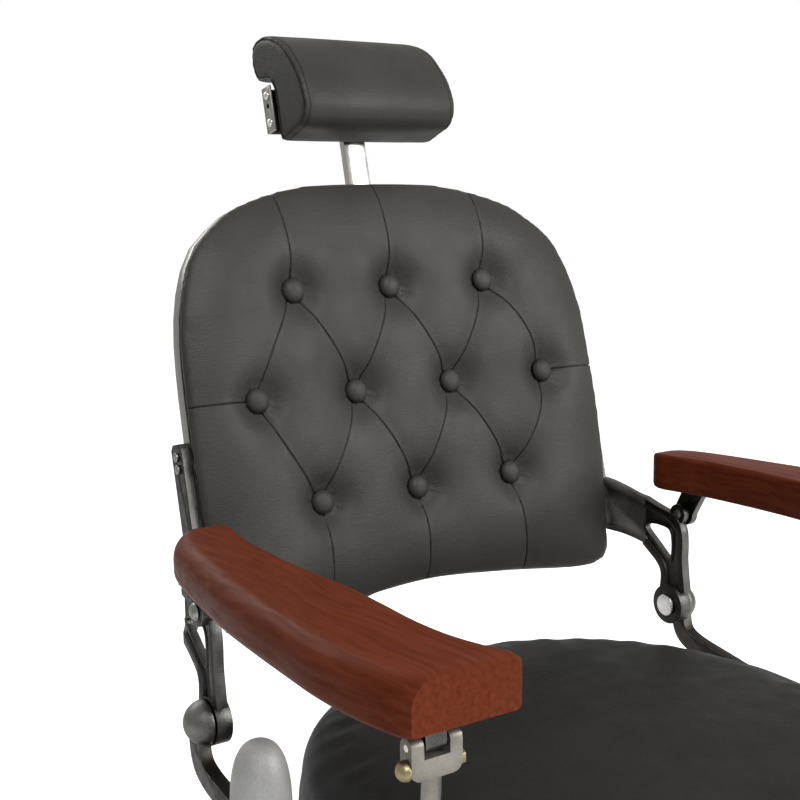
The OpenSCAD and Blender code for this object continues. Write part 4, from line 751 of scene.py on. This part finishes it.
# Headrest pillow: moulded foam in black leather. Each end is a flat panel set inside a lip of the
# cover, with a seam between them and one row of stitches beside it.
pillow_l, pillow_h = 0.191, 0.121
pillow_belly, pillow_belly_half_l = 1.004, 0.06
pillow_low = back_half_h + 0.047
pillow_swell, pillow_hold_x = 0.002, 0.084
pillow_plate_w, pillow_plate_share = 0.016, 0.56
panel_x, panel_depth, panel_turn = 0.0925, 0.0018, 0.0016
lip, lip_seam_w, lip_seam_depth = 0.0042, 0.0011, 0.0026
stitch_in, stitch_line_w, stitch_line_depth = 0.0075, 0.0009, 0.0006
pillow_shares = [(-0.03, 0.03), (0.20, 0.01), (0.215, 0.13), (0.235, 0.52), (0.48, 0.63), (0.555, 0.78),
                 (0.54, 0.93), (0.43, 0.99), (0.24, 0.965), (-0.01, 0.82), (-0.17, 0.62), (-0.262, 0.44),
                 (-0.300, 0.275), (-0.295, 0.185), (-0.25, 0.10), (-0.17, 0.045)]
pillow_section = smooth_loop([(w * pillow_h, pillow_low + s * pillow_h) for w, s in pillow_shares], 8)
pillow_middle = np.array([0.02 * pillow_h, pillow_low + pillow_h / 2])
end_run = [(0, 0.25), (0, 0.5), (0, 0.75), (0.0, 0.94), (0.0018, 0.972), (0.005, 0.992), (0.009, 0.999)]
runs = [(-pillow_l / 2 + x, f) for x, f in end_run]
runs += [(x, pillow_belly if abs(x) < pillow_belly_half_l else 1.0) for x in np.linspace(-0.082, 0.082, 42)]
runs += [(pillow_l / 2 - x, f) for x, f in end_run[::-1]]
rings = []
for x, f in runs:
    ring = pillow_middle + (pillow_section - pillow_middle) * f
    rings.append(in_back(np.stack([np.full(len(ring), x), ring[:, 0], ring[:, 1]], axis=1)))
pillow_leather = skin("pillow_leather", rings, in_back([[-pillow_l / 2, *pillow_middle]])[0],
                      in_back([[pillow_l / 2, *pillow_middle]])[0])
weave(pillow_leather, 0.004)
spot = on_back(points_of(pillow_leather))
below = spot[:, 2] < pillow_low + pillow_plate_share * pillow_h
to_plate = ramp(spot[:, 1] - pillow_plate_w, hold_w) * below
to_ends = ramp(np.abs(spot[:, 0]) - pillow_hold_x, hold_w)
stuff(pillow_leather, np.maximum(to_ends, to_plate), pillow_swell)
apply(pillow_leather, "SUBSURF", levels=1, render_levels=1)
pillow_edge = np.vstack([pillow_section, pillow_section[:1]])
spot = on_back(points_of(pillow_leather))
inside = from_path(spot[:, 1:], pillow_edge)
refine(pillow_leather, ((np.abs(spot[:, 0]) > panel_x) & (inside > 0.001) & (inside < 0.010))
       | (np.abs(np.abs(spot[:, 0]) - (pillow_l / 2 - stitch_in)) < 0.003), cuts=2)
spot = on_back(points_of(pillow_leather))
inside = from_path(spot[:, 1:], pillow_edge)
at_end = np.abs(spot[:, 0]) > panel_x
panel = at_end * ramp(inside - lip, panel_turn)
end_seam = at_end * np.exp(-((inside - lip) / lip_seam_w) ** 2)
from_stitches = np.abs(spot[:, 0]) - (pillow_l / 2 - stitch_in)
stitch_line = np.exp(-(from_stitches / stitch_line_w) ** 2) * (inside < 0.004)
moved = spot.copy()
moved[:, 0] -= np.sign(spot[:, 0]) * (panel_depth * panel + lip_seam_depth * end_seam)
pressed = (stitch_line_depth * stitch_line)[:, None]
place_points(pillow_leather, in_back(moved) - normals_of(pillow_leather) * pressed)
# Painted shade along the end seams and the stitch lines.
mark_seams(pillow_leather, end_seam * 1.2 + 0.5 * stitch_line)
show_as(pillow_leather, "headrest", "headrest_pillow")


stitch_length, stitch_gap, stitch_lift, thread_d = 0.0034, 0.0016, 0.0001, 0.0009


def stitch_row(name, path, cloth, body):
    """A row of thread stitches along a closed path, each lying on the cloth."""
    bpy.ops.object.select_all(action="DESELECT")
    bpy.ops.mesh.primitive_uv_sphere_add(segments=8, ring_count=5, radius=0.5)
    one = bpy.context.object
    path = np.vstack([path, path[:1]])
    run = np.concatenate([[0], np.cumsum(np.linalg.norm(np.diff(path, axis=0), axis=1))])
    count = int(run[-1] / (stitch_length + stitch_gap))
    row = bmesh.new()
    for k in range(count):
        at = (k + 0.5) * run[-1] / count
        here, ahead = (Vector([np.interp(at + d, run, path[:, i]) for i in range(3)]) for d in (0, 0.001))
        _, place, normal, _ = cloth.closest_point_on_mesh(here)
        tangent = (ahead - here).normalized()
        side = normal.cross(tangent).normalized()
        turn = Matrix((tangent, side, normal)).transposed().to_4x4()
        stitch = bmesh.new()
        stitch.from_mesh(one.data)
        laid = Matrix.Translation(place + normal * stitch_lift) @ turn
        bmesh.ops.transform(stitch, verts=stitch.verts,
                            matrix=laid @ Matrix.Diagonal((stitch_length, thread_d, thread_d, 1)))
        mesh = bpy.data.meshes.new("stitch")
        stitch.to_mesh(mesh)
        stitch.free()
        row.from_mesh(mesh)
        bpy.data.meshes.remove(mesh)
    row.to_mesh(one.data)
    row.free()
    one.name = name
    bpy.ops.object.shade_smooth()
    one.data.materials.append(thread)
    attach(one, body)


thread = finish("black_thread", (0.010, 0.010, 0.010), (0.022, 0.021, 0.020), 0.6, 0.004, 0.0004, 0.0001,
                metallic=0.0)
for name, side in (("right", -1), ("left", 1)):
    path = in_back(np.stack([np.full(len(pillow_section), side * (pillow_l / 2 - stitch_in)),
                             pillow_section[:, 0], pillow_section[:, 1]], axis=1))
    stitch_row("pillow_stitches_" + name, path, pillow_leather, "headrest")

# Armrests: solid mahogany, sawn to a bowed outline, rounded over on the outside and oiled. Each
# turns on a lug at its rear and a tongue at its front, both screwed under it.
arm_l, arm_w, arm_t = 0.426, 0.084, 0.040
arm_low, arm_rear, arm_inner = 0.671, 0.208, 0.272
arm_nose, arm_ease, arm_flat = 0.018, 0.00396, 0.00005
arm_step, arm_sharp = 0.006, math.radians(40)
arm_rear_middle, arm_front_middle = 0.18, 0.34
# Each row is a cut across the armrest: how far along it lies, its inner and outer side as shares of
# the width, how much it is thinned above and below, and its lower rounding as a share of the upper.
arm_rows = np.array([
    (0, 0.10, 0.26, 0.24, 0.3), (0.006, 0.02, 0.34, 0.10, 0.4), (0.022, -0.06, 0.45, 0.02, 0.5),
    (0.05, -0.09, 0.56, 0, 0.6), (0.10, -0.05, 0.67, 0, 0.67), (0.18, 0.015, 0.76, 0, 0.67),
    (0.30, 0.045, 0.86, 0, 0.67), (0.42, 0.04, 0.945, 0, 0.67), (0.55, 0, 1, 0, 0.67),
    (0.68, 0.02, 1.03, 0, 0.6), (0.78, 0.045, 1.04, 0, 0.5), (0.87, 0.02, 1.005, 0, 0.4),
    (0.94, -0.06, 0.94, 0, 0.3), (0.985, -0.14, 0.87, 0, 0.25), (1, -0.165, 0.85, 0.06, 0.22)])
mahogany = timber("mahogany", (0.102, 0.0195, 0.0072), (0.158, 0.0355, 0.0155), (0.045, 0.010, 0.004), 0.42)


def corner(y, z, r, start):
    """A quarter of a circle, in nine points."""
    angles = np.radians(start + np.linspace(0, 90, 9))
    return [(y + r * math.cos(a), z + r * math.sin(a)) for a in angles]


def arm_section(x0, x1, shrink, under):
    """A cut across an armrest between two sides, with eased inner edges and rounded outer ones."""
    low, high = arm_low + shrink, arm_low + arm_t - shrink
    r = min(arm_nose, (x1 - x0) / 2 - arm_ease)
    u = min(arm_nose * under, r, arm_t / 2 - shrink - arm_flat)
    return (corner(x0 + arm_ease, low + arm_ease, arm_ease, 180) + corner(x1 - u, low + u, u, 270)
            + corner(x1 - r, high - r, r, 0) + corner(x0 + arm_ease, high - arm_ease, arm_ease, 90))


def arm_cut(side, row):
    """The points of one row's cut on the armrest of one side, 1 for left and -1 for right."""
    along, inner, outer, shrink, under = row
    return [(side * x, arm_rear - along * arm_l, z) for x, z in
            arm_section(arm_inner + inner * arm_w, arm_inner + outer * arm_w, shrink * arm_t, under)]


padded_rows = np.vstack([arm_rows[:1], arm_rows, arm_rows[-1:]])
fine_rows = []
for a, b, c, d in zip(padded_rows[:-3], padded_rows[1:-2], padded_rows[2:-1], padded_rows[3:]):
    steps = max(2, int(round((c[0] - b[0]) * arm_l / arm_step)))
    for k in range(steps):
        t = k / steps
        m0 = (c - a) / max(c[0] - a[0], 1e-9) * (c[0] - b[0])
        m1 = (d - b) / max(d[0] - b[0], 1e-9) * (c[0] - b[0])
        fine_rows.append((2 * t ** 3 - 3 * t ** 2 + 1) * b + (t ** 3 - 2 * t ** 2 + t) * m0
                         + (3 * t ** 2 - 2 * t ** 3) * c + (t ** 3 - t ** 2) * m1)
fine_rows.append(arm_rows[-1])
for name, side in (("left", 1), ("right", -1)):
    rings = [arm_cut(side, row) for row in fine_rows]
    wood = skin("armrest_wood_" + name, rings,
                (side * (arm_inner + arm_rear_middle * arm_w), arm_rear, arm_low + arm_t / 2),
                (side * (arm_inner + arm_front_middle * arm_w), arm_rear - arm_l, arm_low + arm_t / 2))
    pick(wood)
    bpy.ops.object.shade_smooth_by_angle(angle=arm_sharp)
    wood.data.materials.append(mahogany)
    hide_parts("armrest_" + name)
    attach(wood, body_of(nodes["armrest_" + name])[0])
    dressed("arm_lug_" + name, pewter, 0.7)
    dressed("arm_tongue_" + name, pewter, 0.6)
dressed("arm_screws", aged_steel, 0.6)

# Leg frames: cast alloy bars on the front pins, each with a fork above for the armrest's tongue,
# held by a steel pin and a dull brass bolt, and two bright tubes across that carry the rests.
dull_brass = finish("dull_brass", (0.20, 0.16, 0.085), (0.36, 0.31, 0.19), 0.42, 0.01, 0.0012, 0.00008)
# The leg frames' sideways flat faces take a darker brown tone: a painted shade.
warm_alloy = finish("warm_alloy", (0.20, 0.185, 0.16), (0.30, 0.28, 0.25), 0.45, 0.02, 0.0015, 0.00008,
                    metallic=0.8, wear_and_glint=(0.40, 0.38, 0.34), side=(0.11, 0.10, 0.085))
dressed("leg_frame_left", warm_alloy, 1.0)
dressed("leg_frame_right", warm_alloy, 1.0)
dressed("fork_bolts", dull_brass, 0.4)
dressed("fork_pins", turned_steel, 0.3)
dressed("cross_tubes", satin_steel, 0.5)

# Calf rest: a board clamped to the upper tube, with a foam pad in black leather whose cover is drawn
# round it and sewn along its back edge.
calf_lean = math.radians(26)
calf_w, calf_h, calf_t, calf_shift, calf_corner = 0.420, 0.170, 0.042, -0.006, 0.0374
calf_front = -0.0213
calf_swell, calf_hold = 0.004, 0.010
calf_seam_at, calf_seam_w, calf_seam_depth = 0.007, 0.0014, 0.0022
upper_tube = (-0.27495, 0.33735)
dressed("calf_board", sheet_enamel, 1.0)


def in_calf(points):
    """Points (x, y to the rear, z up the pad) as points of the chair."""
    points = np.asarray(points, float)
    x, y, z = points[:, 0], points[:, 1], points[:, 2]
    return np.stack([x, upper_tube[0] + y * math.cos(calf_lean) + z * math.sin(calf_lean),
                     upper_tube[1] - y * math.sin(calf_lean) + z * math.cos(calf_lean)], axis=1)


calf_half_w, calf_half_h = calf_w / 2 - calf_corner, calf_h / 2 - calf_corner
calf_outline = np.array([p for k, (a, b) in enumerate(((1, 1), (-1, 1), (-1, -1), (1, -1)))
                         for p in corner(a * calf_half_w, b * calf_half_h, calf_corner, 90 * k)])
rings = []
for share, depth in ((0.3, 0), (0.6, 0), (0.9, 0), (0.93, 0.01), (0.965, 0.08), (0.985, 0.16), (0.998, 0.3),
                     (1, 0.42), (0.995, 0.56), (0.985, 0.68), (0.965, 0.77), (0.94, 0.84), (0.88, 0.90),
                     (0.82, 0.93), (0.65, 0.955), (0.5, 0.965), (0.25, 0.97)):
    across = 1 - (1 - share) * calf_h / calf_w
    rings.append(in_calf(np.stack([calf_outline[:, 0] * across,
                                   np.full(len(calf_outline), calf_front - depth * calf_t),
                                   calf_shift + calf_outline[:, 1] * share], axis=1)))
calf_leather = skin("calf_leather", rings, in_calf([[0, calf_front, calf_shift]])[0],
                    in_calf([[0, calf_front - 0.97 * calf_t, calf_shift]])[0])
weave(calf_leather, 0.006)


def on_calf_depth(piece):
    """How far in front of the calf board each point is."""
    spot = points_of(piece)
    y, z = spot[:, 1] - upper_tube[0], spot[:, 2] - upper_tube[1]
    return calf_front - (y * math.cos(calf_lean) - z * math.sin(calf_lean))


stuff(calf_leather, ramp(calf_hold - on_calf_depth(calf_leather), hold_w), calf_swell)
apply(calf_leather, "SUBSURF", levels=1, render_levels=1)
refine(calf_leather, np.abs(on_calf_depth(calf_leather) - calf_seam_at) < 0.005, cuts=1)
calf_seam = np.exp(-((on_calf_depth(calf_leather) - calf_seam_at) / calf_seam_w) ** 2)
pressed = (calf_seam_depth * calf_seam)[:, None]
place_points(calf_leather, points_of(calf_leather) - normals_of(calf_leather) * pressed)
# Painted shade along the calf pad's seam.
mark_seams(calf_leather, calf_seam ** 3)
show_as(calf_leather, "leg_frame", "calf_pad")

# Footplate: one casting in the alloy of the leg frames, with raised ribs under the soles. Two bored
# barrels at its rear edge turn on the lower tube.
dressed("footplate", warm_alloy, 1.0)
